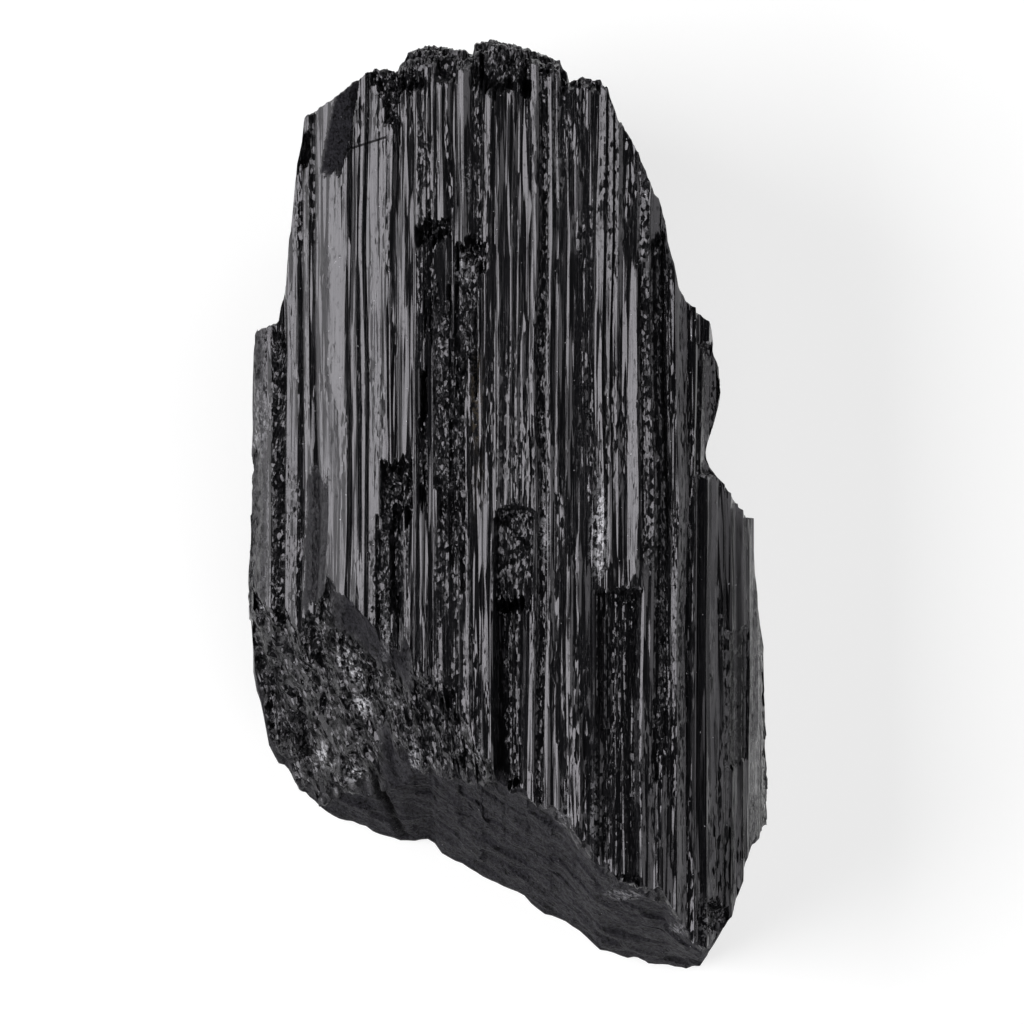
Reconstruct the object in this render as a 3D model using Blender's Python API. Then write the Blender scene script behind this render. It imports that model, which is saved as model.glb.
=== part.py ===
"""A black tourmaline crystal lying on its back: one ribbed prism, broken off at both ends.

Metres, +Z up. The c axis, along which all ribs run, lies along Y with the crown at +Y.
The best face looks up (+Z) and the crystal rests on the flat prism face at z = 0.
Sizes below are in millimetres and are turned to metres where the meshes are made.
"""

import math
import random

import bmesh
import bpy
import numpy as np
from mathutils import Matrix, Vector, noise

NAME = "tourmaline_crystal"
MM = 0.001

# ---- driving dimensions (mm) -------------------------------------------------------------
WALL = 0.06  # run of a step's wall
CEILING = 36.0  # cutters of the front reach up to this height
HALF_LENGTH = 52.0  # the uncut prism reaches this far each way along the c axis
OUTSIDE = 60.0  # cutters reach this far out

# Section across the c axis: corners (x, z). The front runs left to right, the back right to left.
FRONT = [
    (-24.9, 12.0), (-24.6, 15.5), (-23.8, 17.6), (-22.6, 18.8), (-21.4, 18.9), (-21.25, 19.9),
    (-20.3, 20.6), (-19.75, 20.6), (-19.6, 21.5), (-18.95, 22.0), (-18.35, 22.0), (-18.2, 23.9),
    (-15.5, 26.3), (-14.95, 26.3), (-14.45, 26.8), (-13.65, 26.85), (-12.1, 27.95), (-11.6, 28.3),
    (-10.4, 28.3), (-10.0, 29.0), (-9.0, 29.3), (-4.4, 30.3), (0.0, 31.2),
    (5.0, 31.8), (9.0, 31.7), (12.6, 31.7), (14.2, 31.0), (16.5, 29.8), (18.6, 28.0),
    (20.5, 25.9), (22.3, 23.0), (23.8, 19.5), (24.8, 15.5),
]
RIGHT_SIDE = [(25.2, 11.0), (24.2, 6.8), (21.5, 3.2), (17.8, 0.9)]
REST_FACE = [(15.2, 0.0), (-12.6, 0.0)]
LEFT_SIDE = [(-16.2, 0.9), (-20.6, 2.9), (-23.8, 5.8), (-25.2, 9.0)]

# Ribs of the front: (left foot, crest, right foot, lean of the left flank in degrees).
FRONT_RIBS = [
    (-23.6, -23.3, -23.0, 50), (-14.95, -14.5, -14.2, 38),
    (-14.1, -13.55, -13.3, 36), (-13.2, -12.6, -12.35, 36), (-12.3, -11.9, -11.5, 38),
    (-8.95, -8.6, -8.2, 33), (-7.7, -7.5, -7.1, 33), (-6.45, -5.85, -5.65, 33),
    (-5.6, -5.25, -4.9, 33), (-4.4, -3.95, -3.5, 33), (-1.8, -1.35, -0.9, 33),
    (0.3, 0.65, 1.05, 33), (2.25, 2.7, 3.2, 35), (3.85, 4.25, 4.7, 33), (5.85, 6.1, 6.5, 33),
    (6.6, 6.95, 7.3, 33), (8.85, 9.5, 9.7, 24), (10.35, 10.75, 11.15, 26),
    (11.45, 12.3, 12.6, 33), (12.9, 13.6, 14.1, 22), (14.6, 14.95, 15.6, 33),
    (15.9, 16.3, 17.2, 33), (17.6, 17.95, 18.5, 33), (18.6, 19.1, 19.9, 33),
    (20.5, 20.8, 21.3, 33), (21.35, 21.6, 22.2, 33), (22.4, 22.7, 23.2, 33),
]
RIB_HEIGHT = (0.03, 0.8)  # least and most of a front rib
# Grooves in the face it rests on: (centre x, width, depth). The wide band in the middle stays flat.
REST_GROOVES = [
    (13.2, 0.7, 0.25), (10.6, 1.2, 0.50), (7.9, 0.7, 0.28), (5.2, 0.9, 0.40),
    (-4.6, 1.1, 0.45), (-7.1, 0.6, 0.25), (-10.1, 0.9, 0.38),
]
SIDE_RIB_WIDTH = (1.0, 2.2)  # ribs round the two sides: narrowest and widest
SIDE_RIB_HEIGHT = (0.18, 0.45)
LOWEST_RIB = 0.15  # the ribs beside the resting face keep this clear of the ground

# Crown: height of the broken top over x.
CROWN = [
    (-27.0, -12.0), (-25.1, -8.0), (-24.7, 1.4), (-24.4, 12.2), (-24.2, 15.6), (-23.8, 17.1),
    (-22.1, 17.8), (-21.4, 20.4), (-20.9, 24.9), (-20.5, 31.0), (-19.8, 35.0), (-19.3, 37.8),
    (-17.4, 38.8), (-15.9, 40.1), (-15.1, 40.9), (-12.8, 42.1), (-10.4, 42.7), (-9.7, 43.8),
    (-7.3, 44.5), (-4.2, 44.0), (-3.1, 43.6), (-2.7, 44.7), (-1.1, 45.0), (1.2, 44.4),
    (2.8, 43.8), (5.1, 43.0), (5.9, 41.9), (6.7, 41.3), (9.0, 40.9), (9.8, 39.9), (10.5, 37.5),
    (12.1, 35.1), (13.7, 31.4), (15.2, 29.1), (16.0, 25.2), (16.8, 20.9), (18.1, 18.8),
    (19.8, 17.2), (20.6, 14.4), (20.8, 11.3), (21.0, 2.2), (22.2, 0.6), (23.0, -0.7),
    (24.0, -1.4), (24.3, -8.6), (25.0, -14.2), (27.0, -19.0),
]
# Layers of the crown from back to front: (height z where it starts, fall below the outline,
# narrowing towards the middle). The layer that holds the front face carries the outline itself.
CROWN_LAYERS = [
    (-2.0, 6.4, 0.050), (2.6, 5.2, 0.036), (5.9, 3.9, 0.028), (8.7, 2.6, 0.020),
    (11.6, 1.4, 0.012), (14.6, 0.6, 0.006), (17.4, 0.0, 0.000), (26.2, 0.3, 0.000),
]
CROWN_GROUP = 1.1  # ribs end together in groups this wide
CROWN_SLOPE = 0.3  # share of the outline's slope that the end of one group keeps
CROWN_STEPS = 0.9  # neighbouring groups end at heights that differ by up to this
FRONT_STEPS = 0.5  # share of those steps that the outermost layer has
CROWN_MIDDLE = ((-12.5, -10.0), (5.5, 7.5))  # the topmost part rises in and falls off over these x
MIDDLE_FALL = 0.8  # the front ends this far below the outline there
SIDE_FALL = 1.2  # all layers behind the front end this much lower beside it

# Foot: a dull face and a crumbled one, and the higher of the two cuts.
FOOT_EDGE = [  # where the dull face meets z = 0
    (-27.0, -13.4), (-25.2, -14.4), (-24.7, -15.4), (-24.6, -18.4), (-24.4, -19.7), (-23.7, -22.5),
    (-23.1, -25.4), (-22.5, -26.3), (-21.3, -26.5), (-20.2, -27.9), (-19.2, -29.2), (-18.0, -30.2),
    (-15.0, -31.2), (-12.0, -32.0), (-10.3, -32.7), (-7.3, -32.6), (-6.5, -33.5), (-2.5, -36.1),
    (1.0, -38.0), (5.3, -40.5), (9.2, -43.4), (12.0, -44.2), (15.5, -44.9), (19.0, -45.2),
    (19.5, -44.4), (20.0, -43.6), (20.8, -42.2), (21.6, -40.7), (22.3, -39.1), (22.6, -37.5),
    (22.95, -36.0), (23.4, -34.4), (24.0, -32.8), (24.9, -31.2), (27.0, -29.5),
]
DULL_LEAN = [  # how far the dull face climbs for each millimetre of z: it evens out to the right
    (-27.0, 0.353), (3.0, 0.353), (5.6, 0.335), (8.2, 0.30), (12.1, 0.255), (15.3, 0.245),
    (17.6, 0.14), (19.9, 0.075), (22.8, 0.03), (27.0, 0.02),
]
CREASE = ((-12.9, 15.0), (-10.0, 1.5))  # a cleft in the dull face, from (x, z) to (x, z)
CREASE_WIDTH = 1.3
CREASE_DEPTH = 1.5
CRUMBLED_FACE = (-60.9, -1.5, 1.12)  # y = level + lean_x * x + lean_z * z
CRUMBLED_SHOULDER = (-20.4, -25.4)  # it gets no higher to the left of this, low down and high up
SHOULDER_Z = (6.0, 11.0)  # the shoulder moves from the one to the other over this height
LEDGE_FALL = 3.2  # the ribs beside the front's left edge reach this much further down
LEDGE_Z = (13.0, 17.0)  # the ledge starts over this height
LEDGE_X = (-19.6, -18.2)  # and ends over this width
FACE_BLEND = (-1.2, 0.8)  # how soon one face's roughness gives way to the other's
CRUMBLED_ROUGHNESS = 1.1
DULL_ROUGHNESS = 0.28
FOOT_GRID = (52, 32)  # points across and up the broken faces

# Places where the outer ribs are broken away: (x from, x to, y from, y to, depth).
BROKEN_RIBS = [
    (8.7, 13.0, -40.0, -8.2, 1.6),
    (-1.0, 2.4, -9.4, -0.9, 1.0),
    (-1.0, 1.6, -27.0, -9.4, 1.7),
    (-8.9, -5.3, 25.6, 27.3, 0.9),
    (-4.8, -1.7, 22.8, 25.3, 0.8),
    (-4.9, -2.6, 13.0, 23.4, 0.5),
    (-6.8, -5.2, 1.0, 21.0, 0.45),
    (-8.4, -7.5, 8.8, 13.2, 1.2),
    (-12.2, -9.2, -1.6, 3.9, 0.9),
    (-12.7, -11.3, -14.0, -2.0, 0.5),
    (-11.1, -10.4, -10.0, -2.0, 0.9),
    (-8.8, -4.9, -26.0, -17.6, 1.1),
    (-17.4, -14.9, 32.3, 42.0, 0.35),
    (-11.9, -10.9, 37.6, 41.0, 0.9),
    (-19.9, -19.0, 33.2, 36.0, 1.6),
    (2.9, 3.8, -30.0, 38.0, 0.35),
    (14.2, 15.6, -24.0, 26.0, 0.5),
    (21.0, 23.4, -25.0, -12.0, 0.7),
    (18.3, 22.5, 3.0, 22.0, 0.9),
    (19.4, 21.7, -41.3, -38.4, 0.8),
    (-13.2, -8.0, 40.3, 50.0, 0.8),
    (-6.6, -4.7, 41.0, 50.0, 0.9),
    (-3.4, 2.1, 40.2, 50.0, 1.3),
    (3.0, 8.9, 40.9, 50.0, 0.9),
]
# Hollows with no ribs in them: (centre, half sizes).
HOLLOWS = [
    ((-11.0, 1.2, 29.2), (1.5, 2.3, 1.9)),
    ((-7.6, 26.2, 30.2), (1.3, 0.9, 1.3)),
    ((-3.4, 23.6, 31.0), (1.6, 0.9, 1.2)),
    ((0.8, -0.8, 31.8), (2.0, 0.9, 1.5)),
    ((6.2, 42.0, 29.5), (0.9, 1.0, 2.4)),
]
# The bay in the right edge between the small upper lobe and the shoulder: corners (x, y).
RIGHT_BAY = [
    (21.2, 2.0), (20.2, 2.9), (19.2, 4.5), (19.4, 6.0), (19.9, 7.6), (20.4, 9.2), (20.7, 10.7),
    (20.7, 12.2), (20.4, 13.7), (20.0, 14.9), (19.95, 16.5), (19.8, 17.3), (21.0, 17.8),
    (30.0, 17.8), (30.0, 2.0),
]


def over(line, x):
    """Height at x of a line of corners."""
    return float(np.interp(x, [p[0] for p in line], [p[1] for p in line]))


def front_height(x):
    """Height of the front face at x, without its ribs."""
    return over(FRONT, x)


def ribbed_front():
    """The front's corners and ribs as one line of points from left to right."""
    line = list(FRONT)
    for left, crest, right, lean in FRONT_RIBS:
        rise = math.tan(math.radians(lean)) * (crest - left)
        height = rise - (front_height(crest) - front_height(left))
        height = min(max(height, RIB_HEIGHT[0]), RIB_HEIGHT[1])
        line = [p for p in line if not left - 0.02 < p[0] < right + 0.02]
        line += [(left, front_height(left)), (crest, front_height(crest) + height)]
        line.append((right, front_height(right)))
    line.sort()
    spaced = line[:1]
    for point in line[1:]:
        if point[0] - spaced[-1][0] > 0.03:
            spaced.append(point)
    return spaced


def ribbed_side(corners, rng):
    """Corners of a side with uneven ribs raised between them."""
    line = [Vector(corners[0])]
    for start, end in zip(corners, corners[1:]):
        start, end = Vector(start), Vector(end)
        along = (end - start).normalized()
        outward = Vector((along.y, -along.x)) * -1
        place = rng.uniform(0.1, 0.4)
        length = (end - start).length
        while True:
            width = rng.uniform(*SIDE_RIB_WIDTH)
            if place + width > length - 0.1:
                break
            height = rng.uniform(*SIDE_RIB_HEIGHT)
            crest = place + width * rng.uniform(0.25, 0.75)
            line.append(start + along * place)
            line.append(start + along * crest + outward * height)
            line.append(start + along * (place + width))
            place += width + rng.uniform(0.05, 0.5)
        line.append(end)
    return [(p.x, max(p.y, LOWEST_RIB) if p.y else 0.0) for p in line]


def grooved_rest_face():
    """The flat resting face from right to left, with its shallow grooves."""
    line = [REST_FACE[0]]
    for centre, width, depth in REST_GROOVES:
        line += [(centre + width / 2, 0.0), (centre, depth), (centre - width / 2, 0.0)]
    return line + [REST_FACE[1]]


def section_outline():
    """The closed ribbed section: over the front, down the right, back under it and up the left."""
    rng = random.Random(11)
    right = ribbed_side([FRONT[-1], *RIGHT_SIDE, REST_FACE[0]], rng)[1:-1]
    left = ribbed_side([REST_FACE[1], *LEFT_SIDE, FRONT[0]], rng)[1:-1]
    return ribbed_front() + right + grooved_rest_face() + left


def smooth(start, end, x):
    """Smooth step from 0 at start to 1 at end."""
    t = min(max((x - start) / (end - start), 0.0), 1.0)
    return t * t * (3.0 - 2.0 * t)


def crease_depth(x, z):
    """How deep the cleft cuts into the dull face."""
    start, end = (Vector(corner) for corner in CREASE)
    share = min(max((z - start.y) / (end.y - start.y), 0.0), 1.0)
    away = (Vector((x, z)) - start.lerp(end, share)).length
    return CREASE_DEPTH * (1 - smooth(0.0, CREASE_WIDTH, away)) * (1 - 0.6 * share)


def foot_height(x, z):
    """Height of the broken foot over a place in the section."""
    dull = over(FOOT_EDGE, x) + over(DULL_LEAN, x) * z + crease_depth(x, z)
    low_shoulder, high_shoulder = CRUMBLED_SHOULDER
    shoulder = low_shoulder + (high_shoulder - low_shoulder) * smooth(*SHOULDER_Z, z)
    level, lean_x, lean_z = CRUMBLED_FACE
    crumbled = level + lean_x * max(x, shoulder) + lean_z * z
    crumbled -= LEDGE_FALL * smooth(*LEDGE_Z, z) * (1 - smooth(*LEDGE_X, x))
    share = smooth(*FACE_BLEND, crumbled - dull)
    spot = Vector((x, z, 3.0))
    bump = noise.noise(spot * 0.55) * 1.3 + (noise.cell(spot * 0.45) - 0.5) * 0.7
    roughness = DULL_ROUGHNESS + (CRUMBLED_ROUGHNESS - DULL_ROUGHNESS) * share
    return max(dull, crumbled) + bump * roughness


def mesh_object(name, bm, collection):
    """Puts a bmesh made in millimetres into a new object, in metres."""
    bmesh.ops.scale(bm, vec=(MM, MM, MM), verts=bm.verts)
    bmesh.ops.recalc_face_normals(bm, faces=bm.faces)
    mesh = bpy.data.meshes.new(name)
    bm.to_mesh(mesh)
    bm.free()
    obj = bpy.data.objects.new(name, mesh)
    collection.objects.link(obj)
    return obj


def sheet_cutter(name, columns, rows, place, push, collection):
    """A closed cutter: a grid whose points place(i, j) sets, extruded by the vector push."""
    bm = bmesh.new()
    bmesh.ops.create_grid(bm, x_segments=columns - 1, y_segments=rows - 1, size=0.5)
    for vert in bm.verts:
        i = round((vert.co.x + 0.5) * (columns - 1))
        j = round((vert.co.y + 0.5) * (rows - 1))
        vert.co = place(i, j)
    bmesh.ops.triangulate(bm, faces=bm.faces)
    out = bmesh.ops.extrude_face_region(bm, geom=bm.faces[:])
    moved = [v for v in out["geom"] if isinstance(v, bmesh.types.BMVert)]
    bmesh.ops.translate(bm, verts=moved, vec=push)
    return mesh_object(name, bm, collection)


def doubled(edges):
    """Each inner edge as two lines, so that a step stands between them."""
    lines = [edges[0]]
    for edge in edges[1:-1]:
        lines += [edge - WALL / 2, edge + WALL / 2]
    return lines + [edges[-1]]


def crown_layer(z):
    """Which layer of the crown holds the height z."""
    return max(i for i, layer in enumerate(CROWN_LAYERS) if i == 0 or layer[0] <= z)


def crown_fall(x, layer):
    """How far a layer ends below the crown's outline."""
    (rise_start, rise_end), (drop_start, drop_end) = CROWN_MIDDLE
    middle = smooth(rise_start, rise_end, x) * (1 - smooth(drop_start, drop_end, x))
    if layer == crown_layer(front_height(x)):
        return middle * MIDDLE_FALL
    return CROWN_LAYERS[layer][1] + (1 - middle) * SIDE_FALL


def crown_cutter(collection):
    """Everything above the broken top, where groups of ribs end at steps in both directions."""
    rng = random.Random(5)
    count = math.ceil((CROWN[-1][0] - CROWN[0][0]) / CROWN_GROUP)
    edges = [CROWN[0][0] + CROWN_GROUP * i for i in range(count + 1)]
    xs = doubled(edges)
    zs = doubled([layer[0] for layer in CROWN_LAYERS] + [CEILING])
    drops = [[rng.uniform(0, CROWN_STEPS) for _ in CROWN_LAYERS] for _ in range(count)]

    def place(i, j):
        group, layer = i // 2, j // 2
        narrowing = CROWN_LAYERS[layer][2]
        middle = (edges[group] + edges[group + 1]) / 2
        fall = crown_fall(middle, layer)
        drop = drops[group][layer] if fall else 0.0
        if layer == crown_layer(front_height(middle)):
            drop *= FRONT_STEPS
        y = over(CROWN, xs[i] * CROWN_SLOPE + middle * (1 - CROWN_SLOPE)) - fall - drop
        return Vector((xs[i] * (1 - narrowing), y, zs[j]))

    return sheet_cutter("crown_cutter", len(xs), len(zs), place, (0, OUTSIDE, 0), collection)


def foot_cutter(collection):
    """Everything below the broken foot: a dull face and a crumbled one."""
    xs = np.linspace(-27.5, 27.5, FOOT_GRID[0])
    zs = np.linspace(CROWN_LAYERS[0][0], CEILING, FOOT_GRID[1])

    def place(i, j):
        return Vector((xs[i], foot_height(xs[i], zs[j]), zs[j]))

    return sheet_cutter("foot_cutter", len(xs), len(zs), place, (0, -OUTSIDE, 0), collection)


def broken_rib_cutter(index, broken, collection):
    """Takes the outer ribs off between two heights and leaves smaller ribs on the floor."""
    left, right, low, high, depth = broken
    rng = random.Random(100 + index)
    xs = [left]
    while xs[-1] < right - 0.8:
        xs.append(xs[-1] + rng.uniform(0.35, 0.6))
    xs.append(right)
    ends = [[y + rng.uniform(-0.5, 0.5) for _ in xs] for y in (low, high)]

    def place(i, j):
        lift = 0.22 if i % 2 else 0.0
        return Vector((xs[i], ends[j][i], front_height(xs[i]) - depth + lift))

    name = f"broken_ribs_{index:02d}"
    return sheet_cutter(name, len(xs), 2, place, (0, 0, OUTSIDE), collection)


def hollow_cutter(index, hollow, collection):
    """A rough rounded hollow."""
    centre, half_sizes = hollow
    bm = bmesh.new()
    bmesh.ops.create_icosphere(bm, subdivisions=2, radius=1.0)
    for vert in bm.verts:
        vert.co *= 1.0 + 0.28 * noise.noise(vert.co * 2.3 + Vector((index * 7.0, 0, 0)))
    bmesh.ops.scale(bm, vec=half_sizes, verts=bm.verts)
    bmesh.ops.translate(bm, verts=bm.verts, vec=centre)
    return mesh_object(f"hollow_{index:02d}", bm, collection)


def bay_cutter(collection):
    """The bay in the right edge, right through the section."""
    bm = bmesh.new()
    corners = [bm.verts.new((x, y, -3.0)) for x, y in RIGHT_BAY]
    face = bm.faces.new(corners)
    out = bmesh.ops.extrude_face_region(bm, geom=[face])
    moved = [v for v in out["geom"] if isinstance(v, bmesh.types.BMVert)]
    bmesh.ops.translate(bm, verts=moved, vec=(0, 0, 40.0))
    return mesh_object("right_bay", bm, collection)


def uncut_prism(collection):
    """The ribbed section drawn as a flat curve, extruded along the c axis and made a mesh."""
    outline = section_outline()
    curve = bpy.data.curves.new("section", "CURVE")
    curve.dimensions = "2D"
    curve.fill_mode = "BOTH"
    curve.extrude = HALF_LENGTH * MM
    spline = curve.splines.new("POLY")
    spline.points.add(len(outline) - 1)
    for point, (x, z) in zip(spline.points, outline):
        point.co = (x * MM, z * MM, 0, 1)
    spline.use_cyclic_u = True
    drawn = bpy.data.objects.new("section", curve)
    drawn.rotation_euler = (math.pi / 2, 0, 0)
    collection.objects.link(drawn)
    bpy.context.view_layer.update()
    mesh = bpy.data.meshes.new_from_object(drawn.evaluated_get(bpy.context.evaluated_depsgraph_get()))
    mesh.transform(Matrix.Rotation(math.pi / 2, 4, "X"))
    bpy.data.objects.remove(drawn)
    bm = bmesh.new()
    bm.from_mesh(mesh)
    bpy.data.meshes.remove(mesh)
    bmesh.ops.remove_doubles(bm, verts=bm.verts, dist=1e-6)
    bmesh.ops.scale(bm, vec=(1 / MM,) * 3, verts=bm.verts)
    return mesh_object(NAME, bm, collection)


def cut(obj, cutters):
    """Subtracts each cutter in turn, with the result applied to the mesh."""
    for cutter in cutters:
        cutter.hide_render = True
        cutter.display_type = "WIRE"
        boolean = obj.modifiers.new(cutter.name, "BOOLEAN")
        boolean.operation = "DIFFERENCE"
        boolean.solver = "EXACT"
        boolean.object = cutter


def island_of(start):
    """All the points joined to this one by edges."""
    found = {start}
    waiting = [start]
    while waiting:
        for edge in waiting.pop().link_edges:
            for vert in edge.verts:
                if vert not in found:
                    found.add(vert)
                    waiting.append(vert)
    return found


def drop_crumbs(mesh):
    """Deletes the small pieces that the cuts left free, so that one solid stays."""
    bm = bmesh.new()
    bm.from_mesh(mesh)
    left = set(bm.verts)
    islands = []
    while left:
        island = island_of(next(iter(left)))
        left -= island
        islands.append(island)
    islands.sort(key=len)
    for crumb in islands[:-1]:
        bmesh.ops.delete(bm, geom=list(crumb), context="VERTS")
    bm.to_mesh(mesh)
    bm.free()


def stand_on_origin(obj):
    """Applies the cuts and puts the box's bottom centre at the origin."""
    graph = bpy.context.evaluated_depsgraph_get()
    mesh = bpy.data.meshes.new_from_object(obj.evaluated_get(graph))
    obj.modifiers.clear()
    obj.data = mesh
    drop_crumbs(mesh)
    points = np.array([v.co for v in mesh.vertices])
    low, high = points.min(axis=0), points.max(axis=0)
    middle = (low + high) / 2
    mesh.transform(Matrix.Translation((-middle[0], -middle[1], 0.0)))


def black_tourmaline():
    material = bpy.data.materials.new("black_tourmaline")
    material.use_nodes = True
    shader = material.node_tree.nodes["Principled BSDF"]
    shader.inputs["Base Color"].default_value = (0.016, 0.016, 0.019, 1)
    shader.inputs["Roughness"].default_value = 0.28
    shader.inputs["Metallic"].default_value = 0.0
    shader.inputs["IOR"].default_value = 1.64
    return material


def main():
    for obj in list(bpy.data.objects):
        bpy.data.objects.remove(obj)
    part = bpy.data.collections.new(NAME)
    helpers = bpy.data.collections.new("cutters")
    for collection in (part, helpers):
        bpy.context.scene.collection.children.link(collection)
    crystal = uncut_prism(part)
    cutters = [crown_cutter(helpers), foot_cutter(helpers), bay_cutter(helpers)]
    cutters += [broken_rib_cutter(i, b, helpers) for i, b in enumerate(BROKEN_RIBS)]
    cutters += [hollow_cutter(i, h, helpers) for i, h in enumerate(HOLLOWS)]
    cut(crystal, cutters)
    stand_on_origin(crystal)
    crystal.data.materials.append(black_tourmaline())


main()
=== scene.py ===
"""Looks of a black tourmaline crystal that lies on its back, seen from straight above.

The crystal is one closed mesh: a sheet rolled round the c axis (+Y) and closed at both ends,
so that every column of the mesh runs along the crystal as the growth lines do. Lengths inside
the form are in millimetres and turn to metres where the mesh is filled in.
"""

import logging
import math
import random
from dataclasses import dataclass, field
from enum import Enum
from functools import partial
from typing import Any

import bmesh
import bpy
import numpy as np
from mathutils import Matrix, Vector, noise

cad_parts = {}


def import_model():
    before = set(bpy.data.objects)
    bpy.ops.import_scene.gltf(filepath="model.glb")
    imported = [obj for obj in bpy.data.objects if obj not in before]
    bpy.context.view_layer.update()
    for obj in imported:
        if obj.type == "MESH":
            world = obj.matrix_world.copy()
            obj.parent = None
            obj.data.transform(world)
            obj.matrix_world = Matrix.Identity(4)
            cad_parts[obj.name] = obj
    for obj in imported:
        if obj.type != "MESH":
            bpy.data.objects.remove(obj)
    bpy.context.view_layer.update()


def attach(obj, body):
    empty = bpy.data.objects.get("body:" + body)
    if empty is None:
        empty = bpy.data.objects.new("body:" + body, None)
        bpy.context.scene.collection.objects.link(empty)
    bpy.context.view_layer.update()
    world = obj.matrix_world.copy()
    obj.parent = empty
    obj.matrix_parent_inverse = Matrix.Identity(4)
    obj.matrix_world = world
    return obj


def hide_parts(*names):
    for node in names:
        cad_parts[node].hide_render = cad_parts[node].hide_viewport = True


MM = 0.001
NODE = "tourmaline_crystal"
SLOT = "black_tourmaline"

MATH = "ShaderNodeMath"
MIX = "ShaderNodeMix"
RANGE = "ShaderNodeMapRange"
VECTOR = "ShaderNodeVectorMath"

Pair = tuple[float, float]
Triple = tuple[float, float, float]

log = logging.getLogger("crystal")


class Zone(Enum):
    """Kinds of surface that the shader tells apart, each a float attribute on the points."""

    BROKEN = "broken"  # rough places among the ribs
    DULL = "dull"  # the matt break at the foot
    DUST = "dust"  # pale mineral crumbs
    BROWN = "brown"  # a faint brown stain
    PAINTED_SHADE = "deep"  # painted shade along the cleft and in streaks at the right edge, as of grooves too deep for light
    EVEN = "even"  # faces without fine growth lines


def smooth(edge0: float, edge1: float, x: np.ndarray) -> np.ndarray:
    """Smooth step.

    Args:
        edge0: where the step starts.
        edge1: where it ends.
        x: the values to step over.

    Returns:
        0 before edge0, 1 after edge1 and a smooth rise between them.
    """
    t = np.clip((x - edge0) / (edge1 - edge0), 0.0, 1.0)
    return t * t * (3.0 - 2.0 * t)


def hashed(*keys: np.ndarray) -> np.ndarray:
    """Scrambles whole-number keys.

    Args:
        keys: up to three keys, as numbers or arrays.

    Returns:
        A repeatable number from 0 to 1 for each set of keys.
    """
    total = sum((np.asarray(k, float) * c for k, c in zip(keys, (12.9898, 78.233, 37.719))), 0.0)
    return np.modf(np.abs(np.sin(total) * 43758.5453))[0]


def grain(x: np.ndarray, y: np.ndarray, seed: int) -> np.ndarray:
    """Smooth value noise on a unit lattice.

    Args:
        x: places across, in cells.
        y: places along, in cells.
        seed: picks one pattern of many.

    Returns:
        Values from -1 to 1.
    """
    x0, y0 = np.floor(x), np.floor(y)
    fx, fy = x - x0, y - y0
    fx, fy = fx * fx * (3 - 2 * fx), fy * fy * (3 - 2 * fy)
    low = hashed(x0, y0, seed) * (1 - fx) + hashed(x0 + 1, y0, seed) * fx
    high = hashed(x0, y0 + 1, seed) * (1 - fx) + hashed(x0 + 1, y0 + 1, seed) * fx
    return (low * (1 - fy) + high * fy) * 2.0 - 1.0


def chips(x: np.ndarray, y: np.ndarray, size: float, seed: int) -> np.ndarray:
    """Angular broken relief, made of flat tilted chips.

    Args:
        x: places across.
        y: places along.
        size: how wide a chip is.
        seed: picks one pattern of many.

    Returns:
        Heights from -1 to 1.
    """
    gx, gy = x / size, y / size
    cell_x, cell_y = np.floor(gx), np.floor(gy)
    best = np.full(np.shape(gx), np.inf)
    relief = np.zeros(np.shape(gx))
    for i in (-1, 0, 1):
        for j in (-1, 0, 1):
            cx, cy = cell_x + i, cell_y + j
            px = gx - cx - hashed(cx, cy, seed)
            py = gy - cy - hashed(cx, cy, seed + 1)
            distance = px * px + py * py
            tilt_x = hashed(cx, cy, seed + 2) - 0.5
            tilt_y = hashed(cx, cy, seed + 3) - 0.5
            height = (hashed(cx, cy, seed + 4) - 0.5) * 1.1 + (px * tilt_x + py * tilt_y) * 1.8
            nearer = distance < best
            best = np.where(nearer, distance, best)
            relief = np.where(nearer, height, relief)
    return np.clip(relief, -1.0, 1.0)


@dataclass(frozen=True)
class Rib:
    """A growth rib of the front face, in millimetres across the c axis.

    Args:
        left: foot on the left, where the lit flank starts.
        crest: highest line.
        right: foot on the right.
        low: where the rib ends towards the foot of the crystal.
        high: where it ends towards the crown.
        fade: length over which it runs out at each end.
        tilt: how far its left flank leans from level, in degrees.
        turn: how far it strays across the growth lines, per length.
        hollowed: 0 for a flat left flank, more for one that starts level and steepens.
    """

    left: float
    crest: float
    right: float
    low: float = -60.0
    high: float = 60.0
    fade: float = 1.0
    tilt: float = 33.0
    turn: float = 0.0
    hollowed: float = 0.0

    def strength(self, y: np.ndarray) -> np.ndarray:
        """Share of the full height at each y."""
        return smooth(self.low, self.low + self.fade, y) * (1 - smooth(self.high - self.fade, self.high, y))

    def ramp(self, u: np.ndarray, edges: list[float]) -> np.ndarray:
        """The rib's profile.

        Args:
            u: distances round the outline.
            edges: the rib's left foot, crest and right foot as such distances.

        Returns:
            Heights from 0 to 1.
        """
        left, crest, right = edges
        rising = np.clip((u - left) / (crest - left), 0, 1) ** (1 + self.hollowed)
        return np.clip(np.minimum(rising, (right - u) / (right - crest)), 0, 1)


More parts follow.
